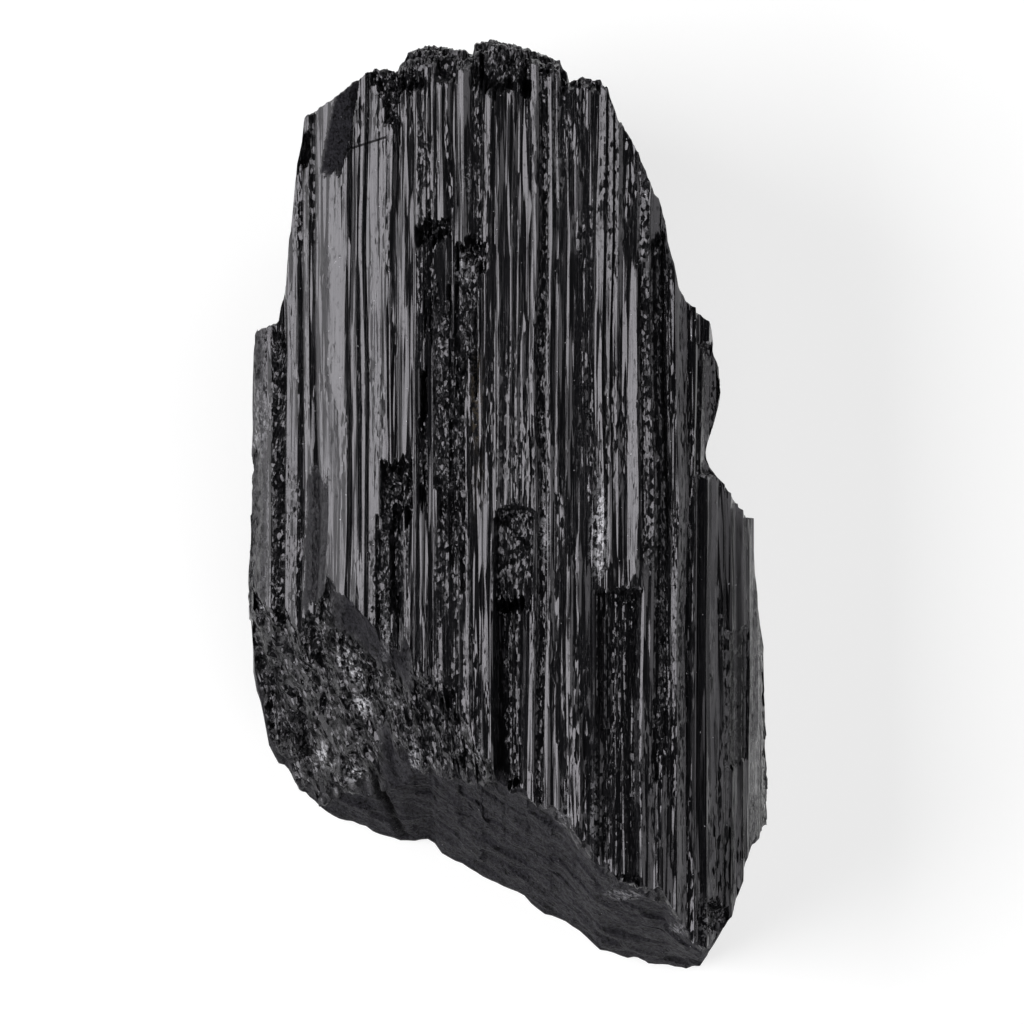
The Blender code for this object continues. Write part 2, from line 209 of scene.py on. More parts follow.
@dataclass(frozen=True)
class Break:
    """A place where the outer ribs are broken away.

    Args:
        left: left edge.
        right: right edge.
        low: end towards the foot.
        high: end towards the crown.
        depth: how deep the floor lies.
        rough: 0 for a floor with ribs of its own, 1 for a crumbled one.
        ragged: how far the two ends wander along the ribs.
        slant: how far its sides lean across the ribs, per length.
        lean: how much deeper the floor gets towards the right.
        dull: 1 for a matt floor, 0 for a glassy one.
    """

    left: float
    right: float
    low: float
    high: float
    depth: float
    rough: float
    ragged: float = 0.7
    slant: float = 0.0
    lean: float = 0.0
    dull: float = 0.0

    def share(self, x: np.ndarray, y: np.ndarray, index: int) -> np.ndarray:
        """Where the ribs are gone.

        Args:
            x: places across the ribs.
            y: places along them.
            index: number of this break, so that no two are ragged alike.

        Returns:
            1 inside the break, 0 outside it and a short slope at its walls.
        """
        upright = x - self.slant * (y - self.low)
        across = smooth(self.left - 0.05, self.left + 0.05, upright)
        across *= 1 - smooth(self.right - 0.05, self.right + 0.05, upright)
        wander = self.ragged * grain(x * 2.3, np.full(x.shape, index * 9.0), 7)
        wander += self.ragged * 0.5 * np.sign(grain(x * 4.9, np.full(x.shape, index * 5.0), 8))
        along = smooth(self.low - 0.25, self.low + 0.25, y + wander)
        along *= 1 - smooth(self.high - 0.2, self.high + 0.2, y + wander * 0.7)
        return across * along

    def floor(self, x: np.ndarray, y: np.ndarray, index: int) -> np.ndarray:
        """Relief of the floor above its depth.

        Args:
            x: places across the ribs.
            y: places along them.
            index: number of this break, so that no two floors are alike.

        Returns:
            Heights in millimetres.
        """
        upright = x - self.slant * (y - self.low)
        floor = chips(x, y * 0.55, 0.9, 40 + index) * 0.42 * self.rough
        floor += chips(x, y, 0.42, 60 + index) * 0.16 * self.rough
        floor -= self.lean * np.clip(upright - self.left, 0, self.right - self.left)
        return floor


@dataclass(frozen=True)
class Etched:
    """A strip of ribs whose surface is finely pitted.

    Args:
        left: left edge.
        right: right edge.
        low: end towards the foot.
        high: end towards the crown.
        strength: 1 where the pits cover it all.
    """

    left: float
    right: float
    low: float
    high: float
    strength: float

    def share(self, x: np.ndarray, y: np.ndarray) -> np.ndarray:
        """Where the strip lies.

        Args:
            x: places across the ribs.
            y: places along them.

        Returns:
            1 inside the strip, 0 outside it, with soft ends.
        """
        share = smooth(self.left - 0.1, self.left + 0.3, x) * (1 - smooth(self.right - 0.3, self.right, x))
        return share * smooth(self.low - 2, self.low + 2, y) * (1 - smooth(self.high - 2, self.high + 2, y))


@dataclass(frozen=True)
class Hollow:
    """A rough pit, as an ellipsoid sunk into the surface.

    Args:
        centre: its middle.
        half: half its size across, along and into the crystal.
    """

    centre: Triple
    half: Triple


@dataclass(frozen=True)
class Crumbs:
    """A scatter of pale crumbs, of stain or of even surface.

    Args:
        x: its middle across the ribs.
        y: its middle along them.
        half_x: half its width.
        half_y: half its length.
        density: 1 where it covers everything.
    """

    x: float
    y: float
    half_x: float
    half_y: float
    density: float

    def share(self, x: np.ndarray, y: np.ndarray) -> np.ndarray:
        """Cover from 0 to 1 at the places (x, y)."""
        away = np.hypot((x - self.x) / self.half_x, (y - self.y) / self.half_y)
        return self.density * (1 - smooth(0.5, 1.0, away))


@dataclass
class Section:
    """The crystal cut across its c axis, as corners of the outline in (x, z).

    Args:
        front: the ribbed front, from left to right.
        right: the right side, downwards.
        rest: the face that it rests on, from right to left.
        left: the left side, upwards.
        rounding: length on each side over which outward directions are evened out.
    """

    front: list[tuple[float, float]] = field(default_factory=lambda: [
        (-24.9, 12.0), (-24.6, 15.5), (-23.8, 17.6), (-22.6, 18.8), (-21.4, 18.9), (-21.25, 19.9),
        (-20.3, 20.6), (-19.75, 20.6), (-19.6, 21.5), (-18.95, 22.0), (-18.35, 22.0), (-18.2, 23.9),
        (-15.5, 26.3), (-14.95, 26.3), (-14.45, 26.8), (-13.65, 26.85), (-12.1, 27.95), (-11.6, 28.3),
        (-10.4, 28.3), (-10.0, 29.0), (-9.0, 29.2), (-8.9, 29.5), (-6.9, 29.6), (-6.8, 29.9),
        (-4.6, 30.1), (-4.5, 30.45), (-2.2, 30.6), (-2.1, 30.9), (0.6, 31.1), (0.7, 31.35),
        (5.0, 31.8), (9.0, 31.7), (12.6, 31.7), (14.2, 31.0), (16.5, 29.8), (18.6, 28.0),
        (20.5, 25.9), (22.3, 23.0), (23.8, 19.5), (24.8, 15.5),
    ])
    right: list[tuple[float, float]] = field(default_factory=lambda: [
        (25.2, 11.0), (24.2, 6.8), (21.5, 3.2), (17.8, 0.9),
    ])
    rest: list[tuple[float, float]] = field(default_factory=lambda: [(15.2, 0.0), (-12.6, 0.0)])
    left: list[tuple[float, float]] = field(default_factory=lambda: [
        (-16.2, 0.9), (-20.6, 2.9), (-23.8, 5.8), (-25.2, 9.0),
    ])
    rounding: float = 2.2

    def __post_init__(self) -> None:
        """Measures the way round the outline."""
        loop = self.front + self.right + self.rest + self.left
        self.corners = np.array(loop + loop[:1])
        steps = np.linalg.norm(np.diff(self.corners, axis=0), axis=1)
        self.reach = np.concatenate([[0.0], np.cumsum(steps)])
        self.length = float(self.reach[-1])
        self.front_length = float(self.reach[len(self.front) - 1])

    def along(self, x: float) -> float:
        """Distance round the outline at which the front has this x."""
        count = len(self.front)
        return float(np.interp(x, self.corners[:count, 0], self.reach[:count]))

    def point(self, u: np.ndarray) -> np.ndarray:
        """Places (x, z) at distances u round the outline."""
        u = np.mod(u, self.length)
        return np.stack([np.interp(u, self.reach, self.corners[:, k]) for k in (0, 1)], axis=-1)

    def outward(self, u: np.ndarray) -> np.ndarray:
        """Outward directions, evened out over the corners.

        Args:
            u: distances round the outline.

        Returns:
            Directions (x, z) of length 1.
        """
        along = self.point(u + self.rounding) - self.point(u - self.rounding)
        along /= np.linalg.norm(along, axis=-1, keepdims=True)
        return np.stack([-along[..., 1], along[..., 0]], axis=-1)

    def below_front(self, x: np.ndarray, z: np.ndarray) -> np.ndarray:
        """How far the places (x, z) lie below the ribbed front."""
        front_x, front_z = np.array(self.front).T
        return np.interp(x, front_x, front_z) - z


@dataclass
class Crown:
    """The stepped broken top.

    Args:
        outline: height of the top over x, as the front shows it.
        layers: the layers from back to front, as where each starts in z, how far it has fallen
            and how much narrower it is.
        steps: most that a group of ribs ends below its neighbours.
        rim: thickness of the front wall, whose steps are smaller.
        rib_width: width of a group of ribs that ends together.
        ragged_left: where the ragged middle starts, from none to all of it.
        ragged_right: where it ends again.
        rim_fall: how far the front wall has fallen in the ragged middle.
        side_fall: how much more the layers have fallen beside it.
        stepped: how flat each group's end is, 1 for a level step.
        pole: middle of the mesh's rings on the top.
        calm: distance from the pole inside which the finest chips fade out.
        chip_height: relief of the broken ends.
        fine_chip_height: relief of their finest chips.
        sunk: how far the top lies below its outline, to leave room for the chips.
    """

    outline: list[tuple[float, float]] = field(default_factory=lambda: [
        (-27.0, -12.0), (-25.1, -8.0), (-24.7, 1.4), (-24.4, 12.2), (-24.2, 15.6), (-23.8, 17.1),
        (-22.1, 17.8), (-21.4, 20.4), (-20.9, 24.9),
        (-20.5, 31.0), (-19.8, 35.0), (-19.3, 37.8), (-17.4, 38.8), (-15.9, 40.1), (-15.1, 40.9),
        (-12.8, 42.1), (-10.4, 42.7), (-9.7, 43.8), (-7.3, 44.5), (-4.2, 44.0), (-3.1, 43.6),
        (-2.7, 44.7), (-1.1, 45.0), (1.2, 44.4), (2.8, 43.8), (5.1, 43.0), (5.9, 41.9),
        (6.7, 41.3), (9.0, 40.9), (9.8, 39.9), (10.5, 37.5), (12.1, 35.1), (13.7, 31.4),
        (15.2, 29.1), (16.0, 25.2), (16.8, 20.9), (18.1, 18.8), (19.8, 17.2), (20.6, 14.4),
        (20.8, 11.3), (21.0, 2.2), (22.2, 0.6), (23.0, -0.7), (24.0, -1.4), (24.3, -8.6),
        (25.0, -14.2), (27.0, -19.0),
    ])
    layers: list[tuple[float, float, float]] = field(default_factory=lambda: [
        (-2.0, 6.4, 0.050), (2.6, 5.2, 0.036), (5.9, 3.9, 0.028), (8.7, 2.6, 0.020),
        (11.6, 1.4, 0.012), (14.6, 0.6, 0.006), (17.4, 0.0, 0.000), (26.2, 0.3, 0.000),
    ])
    steps: float = 0.9
    rim: float = 1.4
    rib_width: float = 0.75
    ragged_left: Pair = (-12.5, -10.0)
    ragged_right: Pair = (5.5, 7.5)
    rim_fall: float = 0.8
    side_fall: float = 1.2
    stepped: float = 0.7
    pole: Pair = (-1.0, 15.0)
    calm: float = 9.0
    chip_height: float = 0.22
    fine_chip_height: float = 0.12
    sunk: float = 0.1

    def height(self, x: np.ndarray, z: np.ndarray) -> np.ndarray:
        """Top of the crystal over a place in its section.

        Args:
            x: places across the ribs.
            z: places above the resting face.

        Returns:
            Heights along the c axis.
        """
        starts, falls, narrowing = np.array(self.layers).T
        layer = np.clip(np.searchsorted(starts, z) - 1, 0, len(starts) - 1)
        line_x, line_y = np.array(self.outline).T
        rim = Section().below_front(x, z) < self.rim
        middle = smooth(*self.ragged_left, x) * (1 - smooth(*self.ragged_right, x))
        wide = np.where(rim, x, x / (1 - narrowing[layer]))
        group = np.floor(wide / self.rib_width)
        fall = np.where(rim, middle * self.rim_fall, falls[layer] + (1 - middle) * self.side_fall)
        drop = hashed(group, layer) * self.steps * np.where(rim, 0.35 + 0.65 * middle, 1.0) * (fall > 0)
        flat = np.where(rim, 0.25 + 0.45 * middle, self.stepped)
        wide = wide * (1 - flat) + (group + 0.5) * self.rib_width * flat
        top = np.interp(wide, line_x, line_y) - fall - drop
        outer = np.clip(np.hypot(x - self.pole[0], z - self.pole[1]) / self.calm, 0.15, 1.0)
        jagged = chips(x * 1.2, z * 0.5, 0.8, 31) * self.chip_height
        jagged = jagged + chips(x, z, 0.35, 33) * self.fine_chip_height * outer
        return top + jagged - self.sunk


@dataclass
class Foot:
    """The broken foot: a dull slanted face and a crumbled one; the higher one cuts.

    Args:
        edge: height of the dull face over x, at the level of the resting face.
        lean: how much the dull face climbs towards the front, over x.
        crease: the cleft in the dull face, from one (x, z) to another.
        crease_width: half the width of the cleft.
        crease_depth: its depth at the front end.
        crumbled: level of the crumbled face, then how it climbs with x and with z.
        shoulder: x to the left of which the crumbled face stays level.
        ledge: how far it drops beside the left edge of the front.
        coarse_relief: lumps of the dull face, and how much more the crumbled one has.
        crumb_relief: coarse and fine chips of the crumbled face.
        matt_relief: waves, fine chips and coarse chips of the dull face.
    """

    edge: list[tuple[float, float]] = field(default_factory=lambda: [
        (-27.0, -13.4), (-25.2, -14.4), (-24.7, -15.4), (-24.6, -18.4), (-24.4, -19.7), (-23.7, -22.5),
        (-23.1, -25.4), (-22.5, -26.3), (-21.3, -26.5), (-20.2, -27.9), (-19.2, -29.2), (-18.0, -30.2),
        (-15.0, -31.2), (-12.0, -32.0), (-10.3, -32.7), (-7.3, -32.6), (-6.5, -33.5), (-2.5, -36.1),
        (1.0, -38.0), (5.3, -40.5), (9.2, -43.4), (12.0, -44.2), (15.5, -44.9), (19.0, -45.2),
        (19.5, -44.4), (20.0, -43.6), (20.8, -42.2), (21.6, -40.7), (22.3, -39.1), (22.6, -37.5),
        (22.95, -36.0), (23.4, -34.4), (24.0, -32.8), (24.9, -31.2), (27.0, -29.5),
    ])
    lean: list[tuple[float, float]] = field(default_factory=lambda: [
        (-27.0, 0.353), (3.0, 0.353), (5.6, 0.335), (8.2, 0.30), (12.1, 0.255), (15.3, 0.245), (17.6, 0.14),
        (19.9, 0.075), (22.8, 0.03), (27.0, 0.02),
    ])
    crease: tuple[Pair, Pair] = ((-12.9, 15.0), (-10.0, 1.5))
    crease_width: float = 0.75
    crease_depth: float = 1.5
    crumbled: Triple = (-60.9, -1.5, 1.12)
    shoulder: float = -20.4
    ledge: float = 3.2
    coarse_relief: Pair = (0.28, 0.62)
    crumb_relief: Pair = (1.0, 0.45)
    matt_relief: Triple = (0.07, 0.07, 0.05)

    def cleft(self, x: np.ndarray, z: np.ndarray) -> tuple[np.ndarray, np.ndarray]:
        """Measures from the cleft in the dull face.

        Args:
            x: places across the ribs.
            z: places above the resting face.

        Returns:
            Distances from the line of the cleft, and the nearest places on it from 0 to 1.
        """
        (from_x, from_z), (to_x, to_z) = self.crease
        share = np.clip((z - from_z) / (to_z - from_z), 0, 1)
        aside = x - from_x - share * (to_x - from_x)
        return np.hypot(aside, (z - from_z - share * (to_z - from_z)) * 0.5), share

    @staticmethod
    def lumps(x: np.ndarray, z: np.ndarray) -> np.ndarray:
        """Coarse lumps of both faces.

        Args:
            x: places across the ribs.
            z: places above the resting face.

        Returns:
            Heights in millimetres.
        """
        coarse = np.zeros(np.shape(x))
        for index in np.ndindex(np.shape(x)):
            spot = Vector((x[index], z[index], 3.0))
            coarse[index] = noise.noise(spot * 0.55) * 1.3 + (noise.cell(spot * 0.45) - 0.5) * 0.7
        return coarse

    def smooth_bands(self, x: np.ndarray, sunk: np.ndarray) -> np.ndarray:
        """The two smooth strips that cross the crumbled face.

        Args:
            x: places across the ribs.
            sunk: how far they lie below the front.

        Returns:
            1 inside the strips and 0 outside them.
        """
        upper = smooth(-17.5, -15.0, x) * (1 - smooth(-10.5, -8.5, x)) * (1 - smooth(2.4, 3.4, sunk))
        lower = smooth(-12.6, -11.6, x) * (1 - smooth(-8.6, -7.6, x)) * smooth(8, 9, sunk)
        return np.maximum(upper, lower)

    def height(self, x: np.ndarray, z: np.ndarray) -> tuple[np.ndarray, np.ndarray]:
        """Bottom of the crystal over a place in its section.

        Args:
            x: places across the ribs.
            z: places above the resting face.

        Returns:
            Heights along the c axis, and how crumbled the crystal is there, from 0 to 1.
        """
        line_x, line_y = np.array(self.edge).T
        lean_x, leans = np.array(self.lean).T
        dull = np.interp(x, line_x, line_y) + np.interp(x, lean_x, leans) * z
        away, share = self.cleft(x, z)
        dull = dull + self.crease_depth * (1 - smooth(0.0, self.crease_width, away)) * (1 - 0.6 * share)
        level, slope_x, slope_z = self.crumbled
        shoulder = self.shoulder - 5.0 * smooth(6.0, 11.0, z)
        crumbled = level + slope_x * np.maximum(x, shoulder) + slope_z * z
        crumbled = crumbled - self.ledge * smooth(14.5, 18.5, z) * (1 - smooth(-20.0, -17.6, x))
        share = smooth(-1.2, 0.8, crumbled - dull)
        base, more = self.coarse_relief
        height = np.maximum(dull, crumbled) + self.lumps(x, z) * (base + share * more)
        sunk = Section().below_front(x, z)
        share = share * (1 - 0.9 * self.smooth_bands(x, sunk))
        chipped = (1 - smooth(0.6, 3.0, sunk + 1.5 * grain(x * 0.9, z * 0.9, 15))) * smooth(1.0, 4.0, x)
        share = np.maximum(share, chipped * 0.75)
        coarse, fine = self.crumb_relief
        crumbs = chips(x * 1.3, z, 2.3, 11) * coarse + chips(x * 1.6, z, 0.9, 23) * fine
        waves, fine, coarse = self.matt_relief
        matt = grain(x * 1.1, z * 0.35, 5) * waves + chips(x, z * 0.35, 0.6, 12) * fine
        matt = matt + chips(x, z * 0.35, 2.6, 13) * coarse
        return height + crumbs * share + matt * (1 - share), share


@dataclass
class CrystalForm:
    """The crystal as one closed mesh with growth ribs, breaks and pits.

    Args:
        columns_back: columns over the sides and the face it rests on.
        rows_side: rows from the crown to the foot.
        rows_crown: rings that close the crown.
        rows_foot: rings that close the foot.
        most_triangles: budget that the finished mesh keeps to.
        axis: (x, z) of the poles where the rings close.
        offset: shift across and along that lays the crystal over its frame.
        section: the outline across the ribs.
        crown: the broken top.
        foot: the broken bottom.
        ribs: single ribs of the front that stand out from the fine ones.
        etched: finely pitted strips.
        breaks: places where the outer ribs are gone.
        hollows: rough pits.
        dust: pale mineral crumbs.
        stains: brown stains.
        even: faces without fine lines.
        bay: the bay in the right side, as the most that x may be over y.
        lane_seed: seed of the fine ribs.
        front_lane: narrowest and widest fine rib of the front.
        side_lane: the same for the sides and the back.
        crest_share: where the crest of a fine rib lies in its width, least and most.
        lit_from: x from which the front faces the light less, so that more flanks lean to it.
        lit_leans: leans of the left flanks there, in degrees.
        other_leans: leans of the left flanks elsewhere.
        gap_chance: how often a flat gap follows a fine rib of the front.
        widest_gap: its greatest width.
        rib_height: least and most height of a rib.
        side_rib_slope: height of a rib of the sides against the run of its flank.
        column_width: narrowest column of the front, usual one, and widest.
        rest_width: width of the face it rests on.
        edge_top: height below which the two side edges are chipped.
        crowding: how closely the rings crowd towards the rim, for the crown and the foot.
        mean_strength: usual height of a fine rib, against that which its lean asks for.
        swells: length and amount of the slow and the quick swelling of a fine rib.
        piece_length: length of the pieces that it stops and starts in.
        stopped_share: share of those pieces where it all but stops.
        stopped_height: its height there.
        overlap: how far a single rib reaches over its neighbours.
        cover: how fully it hides the fine ribs under it.
        etched_relief: relief of the pitted strips.
        etched_rough: how broken they look.
        edge_chips: relief of the fine and the coarse chips along the side edges.
        worn_to: x up to which the left edge is worn, all of it and a little of it.
        worn_relief: relief of the worn edge.
        worn_dull: how dull it is.
        rest_groove: grooves of the resting face, as a share of the ribs' relief less a level.
        hollow_unevenness: how far a hollow departs from an ellipsoid.
        hollow_chips: relief of its floor.
        bay_rounds: how often the edges beside the bay are halved.
        bay_edge: length past which they are.
        bay_chips: relief of its wall.
        swerves: how far the ribs stray sideways, in wide bundles and narrow ones.
        left_step: step in the left edge near the foot, as two y and the least x at each.
        cleft_shade: distance from the cleft up to which shade is painted, all of it and a little of it.
        groove_shade_from: x from which the right edge gets painted shade in streaks, as of fine grooves.
        sharp_angle: angle in degrees past which two faces meet in a sharp edge.
    """

    columns_back: int = 100
    rows_side: int = 190
    rows_crown: int = 48
    rows_foot: int = 56
    most_triangles: int = 192000
    axis: Pair = (-1.0, 15.0)
    offset: Pair = (-0.1896, 0.1331)
    section: Section = field(default_factory=Section)
    crown: Crown = field(default_factory=Crown)
    foot: Foot = field(default_factory=Foot)
    ribs: list[Rib] = field(default_factory=lambda: [
        Rib(-24.3, -24.0, -23.7, tilt=62), Rib(-23.6, -23.3, -23.0, tilt=50),
        Rib(-18.1, -15.9, -15.4, -6, 34, 5, 37, -0.015, 0.6), Rib(-17.2, -16.5, -16.2, -13, 4, 6, 40, 0.012),
        Rib(-16.1, -15.7, -15.4, -13, 8, 5, 40, 0.01),
        Rib(-14.95, -14.5, -14.2, -14, 50, 2, 38, 0.008),
        Rib(-14.1, -13.55, -13.3, -15, 50, 2, 36, 0.0, 0.5),
        Rib(-13.2, -12.6, -12.35, -16, 50, 3, 36, 0.012, 0.5),
        Rib(-12.3, -11.9, -11.5, 4, 50, 2, 38), Rib(-11.3, -11.1, -10.9, 2, 24, 3, 38),
        Rib(-11.4, -10.95, -10.4, 28, 38, 2, 38), Rib(-8.95, -8.6, -8.2, 36.3, 40.1, 0.5),
        Rib(-8.95, -8.6, -8.2, 14, 26.5, 1), Rib(-7.9, -7.5, -7.1, 41.0, 42.7, 0.5),
        Rib(-7.7, -7.5, -7.1, 33, 41, 2), Rib(-6.45, -5.85, -5.65, 26.5, 41.0, 0.6),
        Rib(-5.65, -5.25, -4.9, 33, 41, 0.6), Rib(-4.4, -3.95, -3.5, 24.9, 42.3, 0.6),
        Rib(-3.5, -3.3, -3.0, 9, 20, 1), Rib(-2.0, -1.35, -0.9, 22, 31, 5, 20),
        Rib(-1.8, -1.35, -0.9, 30, 40.1, 1), Rib(-0.75, -0.5, -0.1, 0.6, 40, 2, 28),
        Rib(0.3, 0.65, 1.05, 10, 40.3, 2), Rib(1.5, 2.2, 2.25, 0.3, 10, 5, 30),
        Rib(2.25, 2.7, 3.2, -26, 43.2, 0.6, 35), Rib(3.85, 4.25, 4.7, -20, 42, 1),
        Rib(4.7, 5.0, 5.4, 6, 22, 2), Rib(5.85, 6.1, 6.5, 0, 30, 4), Rib(6.6, 6.95, 7.3, 25, 36, 3),
        Rib(7.6, 7.9, 8.3, 36, 40.4, 1), Rib(8.85, 9.5, 9.7, -7, 41.5, 2, 28),
        Rib(9.7, 10.2, 10.35, -7, 41, 4, 27), Rib(10.35, 10.75, 11.15, -7, 40, 4, 30),
        Rib(11.45, 12.3, 12.6, -8.2, 25, 4, 33, 0.01), Rib(12.9, 13.7, 14.1, -6, 33, 3, 31),
        Rib(14.6, 14.95, 15.6, -34, 27, 3), Rib(15.9, 16.3, 17.2, -36, 24, 2), Rib(17.6, 17.95, 18.5),
        Rib(18.6, 19.1, 19.9), Rib(20.5, 20.8, 21.3), Rib(21.3, 21.6, 22.2), Rib(22.4, 22.7, 23.2),
        Rib(23.25, 23.45, 23.8, -30, -1, 3, 20), Rib(24.0, 24.2, 24.5, -24, -6, 3, 20),
        Rib(6.1, 7.0, 7.4, -33, -17, 7, 31), Rib(6.0, 6.4, 6.7, -20, -2, 4, 30, 0.01),
        Rib(10.0, 10.4, 10.7, -36, -25, 2),
        Rib(9.2, 9.6, 9.9, -22, -10, 1), Rib(-2.2, -1.8, -1.4, -25, -8, 2),
        Rib(-1.3, -1.0, -0.8, -24, -2, 2), Rib(-4.0, -3.6, -3.2, -22, -2, 2),
        Rib(-9.9, -9.3, -9.0, -16, -8, 3), Rib(-7.1, -6.8, -6.5, -19, -9, 2),
        Rib(-6.4, -6.1, -5.8, -19, -10, 2), Rib(-8.4, -8.1, -7.8, -12, 2, 3),
    ])
    etched: list[Etched] = field(default_factory=lambda: [
        Etched(-8.7, -7.2, 14, 37, 0.5), Etched(2.9, 4.0, 0, 44, 0.8), Etched(8.8, 11.2, 25, 42, 0.5),
        Etched(12.8, 14.1, -6, 33, 0.9), Etched(15.0, 16.2, 18, 31, 0.7), Etched(-25.0, -22.9, -11, 18, 0.5),
        Etched(-3.3, -2.1, 24, 38, 0.6), Etched(-6.7, -3.3, -22, -3, 0.5), Etched(4.4, 6.4, 28, 43, 0.4),
        Etched(-20.6, -18.0, 26, 40, 0.4), Etched(23.6, 25.4, -36, -6, 0.5),
        Etched(-21.3, -19.9, -9, 4, 0.5), Etched(-0.5, 1.6, 2, 16, 0.4),
        Etched(6.8, 8.8, 0, 30, 0.35), Etched(15.6, 17.4, -30, 0, 0.35), Etched(-13.4, -9.6, -18, -2, 0.6),
    ])
    breaks: list[Break] = field(default_factory=lambda: [
        Break(-22.7, -21.4, -14.0, 17.0, 0.12, 0.5),
        Break(-19.6, -17.7, -10.5, 3.0, 0.15, 0.35, 1.0, 0.02, 0.0, 0.4),
        Break(8.7, 13.0, -36.0, -8.2, 1.6, 0.0, 0.5),
        Break(-1.0, 2.4, -9.4, -0.9, 1.0, 0.5),
        Break(-1.0, 1.6, -27.0, -9.4, 1.7, 0.1),
        Break(-8.9, -5.3, 25.9, 27.3, 0.9, 0.9), Break(-4.8, -1.7, 23.0, 25.3, 0.9, 0.9),
        Break(-8.0, -6.9, 18.0, 26.5, 0.4, 0.3, 2.0), Break(-4.9, -2.6, 13.0, 24.0, 0.5, 0.6, 3.0),
        Break(-6.8, -5.2, 1.0, 21.0, 0.35, 0.7, 3.0), Break(-5.4, -3.9, -5.5, 16.0, 0.4, 0.65, 3.0),
        Break(-8.4, -7.5, 8.8, 13.2, 1.2, 0.5), Break(-8.6, -7.6, 1.0, 8.0, 0.4, 0.6, 2.0),
        Break(-12.2, -9.2, -1.6, 3.9, 0.9, 0.95, 1.0), Break(-12.7, -11.3, -14.0, -1.4, 0.5, 0.7, 2.0),
        Break(-11.5, -10.4, -10.0, -1.4, 0.9, 0.5, 2.0),
        Break(-17.8, -16.0, 32.3, 42.0, 0.15, 0.0, 0.3, 0.19, 0.45, 1.0),
        Break(-8.8, -4.9, -22.5, -17.6, 1.1, 0.95, 0.8),
        Break(-11.9, -10.9, 37.6, 41.0, 0.9, 0.8, 0.5), Break(-19.9, -19.0, 33.2, 36.0, 1.6, 0.6, 0.4),
        Break(2.9, 3.8, -30.0, 38.0, 0.35, 0.2, 2.0),
        Break(14.2, 15.6, -24.0, 26.0, 0.5, 0.4, 2.0),
        Break(21.0, 23.4, -25.0, -12.0, 0.22, 0.15, 0.5), Break(19.4, 21.7, -41.3, -38.6, 0.8, 0.9, 0.6),
        Break(18.3, 22.5, 3.0, 15.5, 0.9, 0.1, 0.0),
        Break(-13.2, -9.0, 40.4, 50.0, 0.8, 1.0, 0.5),
        Break(-9.0, -8.0, 40.1, 50.0, 0.8, 0.6, 0.2), Break(-8.0, -6.6, 42.7, 50.0, 0.8, 0.6, 0.2),
        Break(-6.6, -4.7, 41.0, 50.0, 0.9, 0.3, 0.2), Break(-4.7, -3.4, 42.3, 50.0, 0.8, 0.4, 0.2),
        Break(-3.4, -2.7, 40.4, 50.0, 1.0, 0.5, 0.2), Break(-2.7, 2.1, 40.2, 50.0, 1.4, 0.9, 0.8),
        Break(2.1, 3.0, 43.2, 50.0, 0.8, 0.6, 0.2), Break(3.0, 5.4, 42.2, 50.0, 0.8, 0.8, 0.5),
        Break(5.4, 8.9, 40.3, 50.0, 1.0, 0.8, 0.5),
    ])
    hollows: list[Hollow] = field(default_factory=lambda: [
        Hollow((-11.0, 1.2, 29.2), (1.5, 2.3, 1.9)), Hollow((-7.6, 26.2, 30.2), (1.3, 0.9, 1.3)),
        Hollow((-3.4, 23.6, 31.0), (1.6, 0.9, 1.2)), Hollow((0.8, -0.8, 31.8), (2.0, 0.9, 1.5)),
        Hollow((6.2, 42.0, 29.5), (0.9, 1.0, 2.4)),
    ])
    dust: list[Crumbs] = field(default_factory=lambda: [
        Crumbs(-23.9, 8.0, 0.9, 5.0, 0.3), Crumbs(-15.3, -15.2, 1.1, 2.0, 0.7),
        Crumbs(-15.6, -14.7, 0.9, 1.4, 0.8), Crumbs(-14.4, -16.4, 0.9, 0.9, 1.0),
        Crumbs(-13.8, -19.3, 1.0, 1.3, 1.0), Crumbs(-18.0, -24.6, 1.9, 1.1, 1.0),
        Crumbs(-14.6, -26.1, 1.5, 0.9, 1.0), Crumbs(-8.8, -24.4, 0.6, 1.5, 0.9),
        Crumbs(-2.8, -23.8, 0.8, 0.7, 0.5), Crumbs(-10.5, -18.9, 0.7, 0.6, 0.5),
        Crumbs(-23.7, -9.7, 0.4, 0.5, 0.8), Crumbs(-23.7, -15.8, 0.4, 0.5, 0.8),
        Crumbs(-24.4, 6.6, 0.4, 1.4, 0.7), Crumbs(-4.2, 22.8, 0.9, 1.9, 0.6),
        Crumbs(-3.5, 32.0, 0.3, 1.2, 0.5), Crumbs(9.1, -2.6, 0.9, 5.6, 0.7),
        Crumbs(3.8, -2.6, 0.7, 2.6, 0.45), Crumbs(8.6, -29.0, 0.5, 4.2, 0.45),
        Crumbs(16.6, -40.9, 0.9, 0.8, 0.4), Crumbs(11.4, -37.6, 2.2, 0.7, 0.4),
        Crumbs(19.2, -40.0, 1.2, 1.4, 0.3), Crumbs(5.6, -30.0, 1.0, 1.0, 0.3),
        Crumbs(-11.6, -13.0, 0.6, 5.0, 0.2),
    ])
    stains: list[Crumbs] = field(default_factory=lambda: [
        Crumbs(-2.8, 10.4, 0.7, 6.0, 0.8), Crumbs(-2.6, 2.4, 0.6, 2.2, 0.6),
    ])
    even: list[Crumbs] = field(default_factory=lambda: [
        Crumbs(-16.75, 12.0, 1.5, 26.0, 0.9), Crumbs(-13.7, 18.0, 0.6, 30.0, 0.6),
        Crumbs(9.9, 26.0, 1.4, 17.0, 0.6), Crumbs(12.4, 9.0, 0.8, 16.0, 0.6),
        Crumbs(19.6, 11.0, 2.4, 8.0, 0.7),
    ])
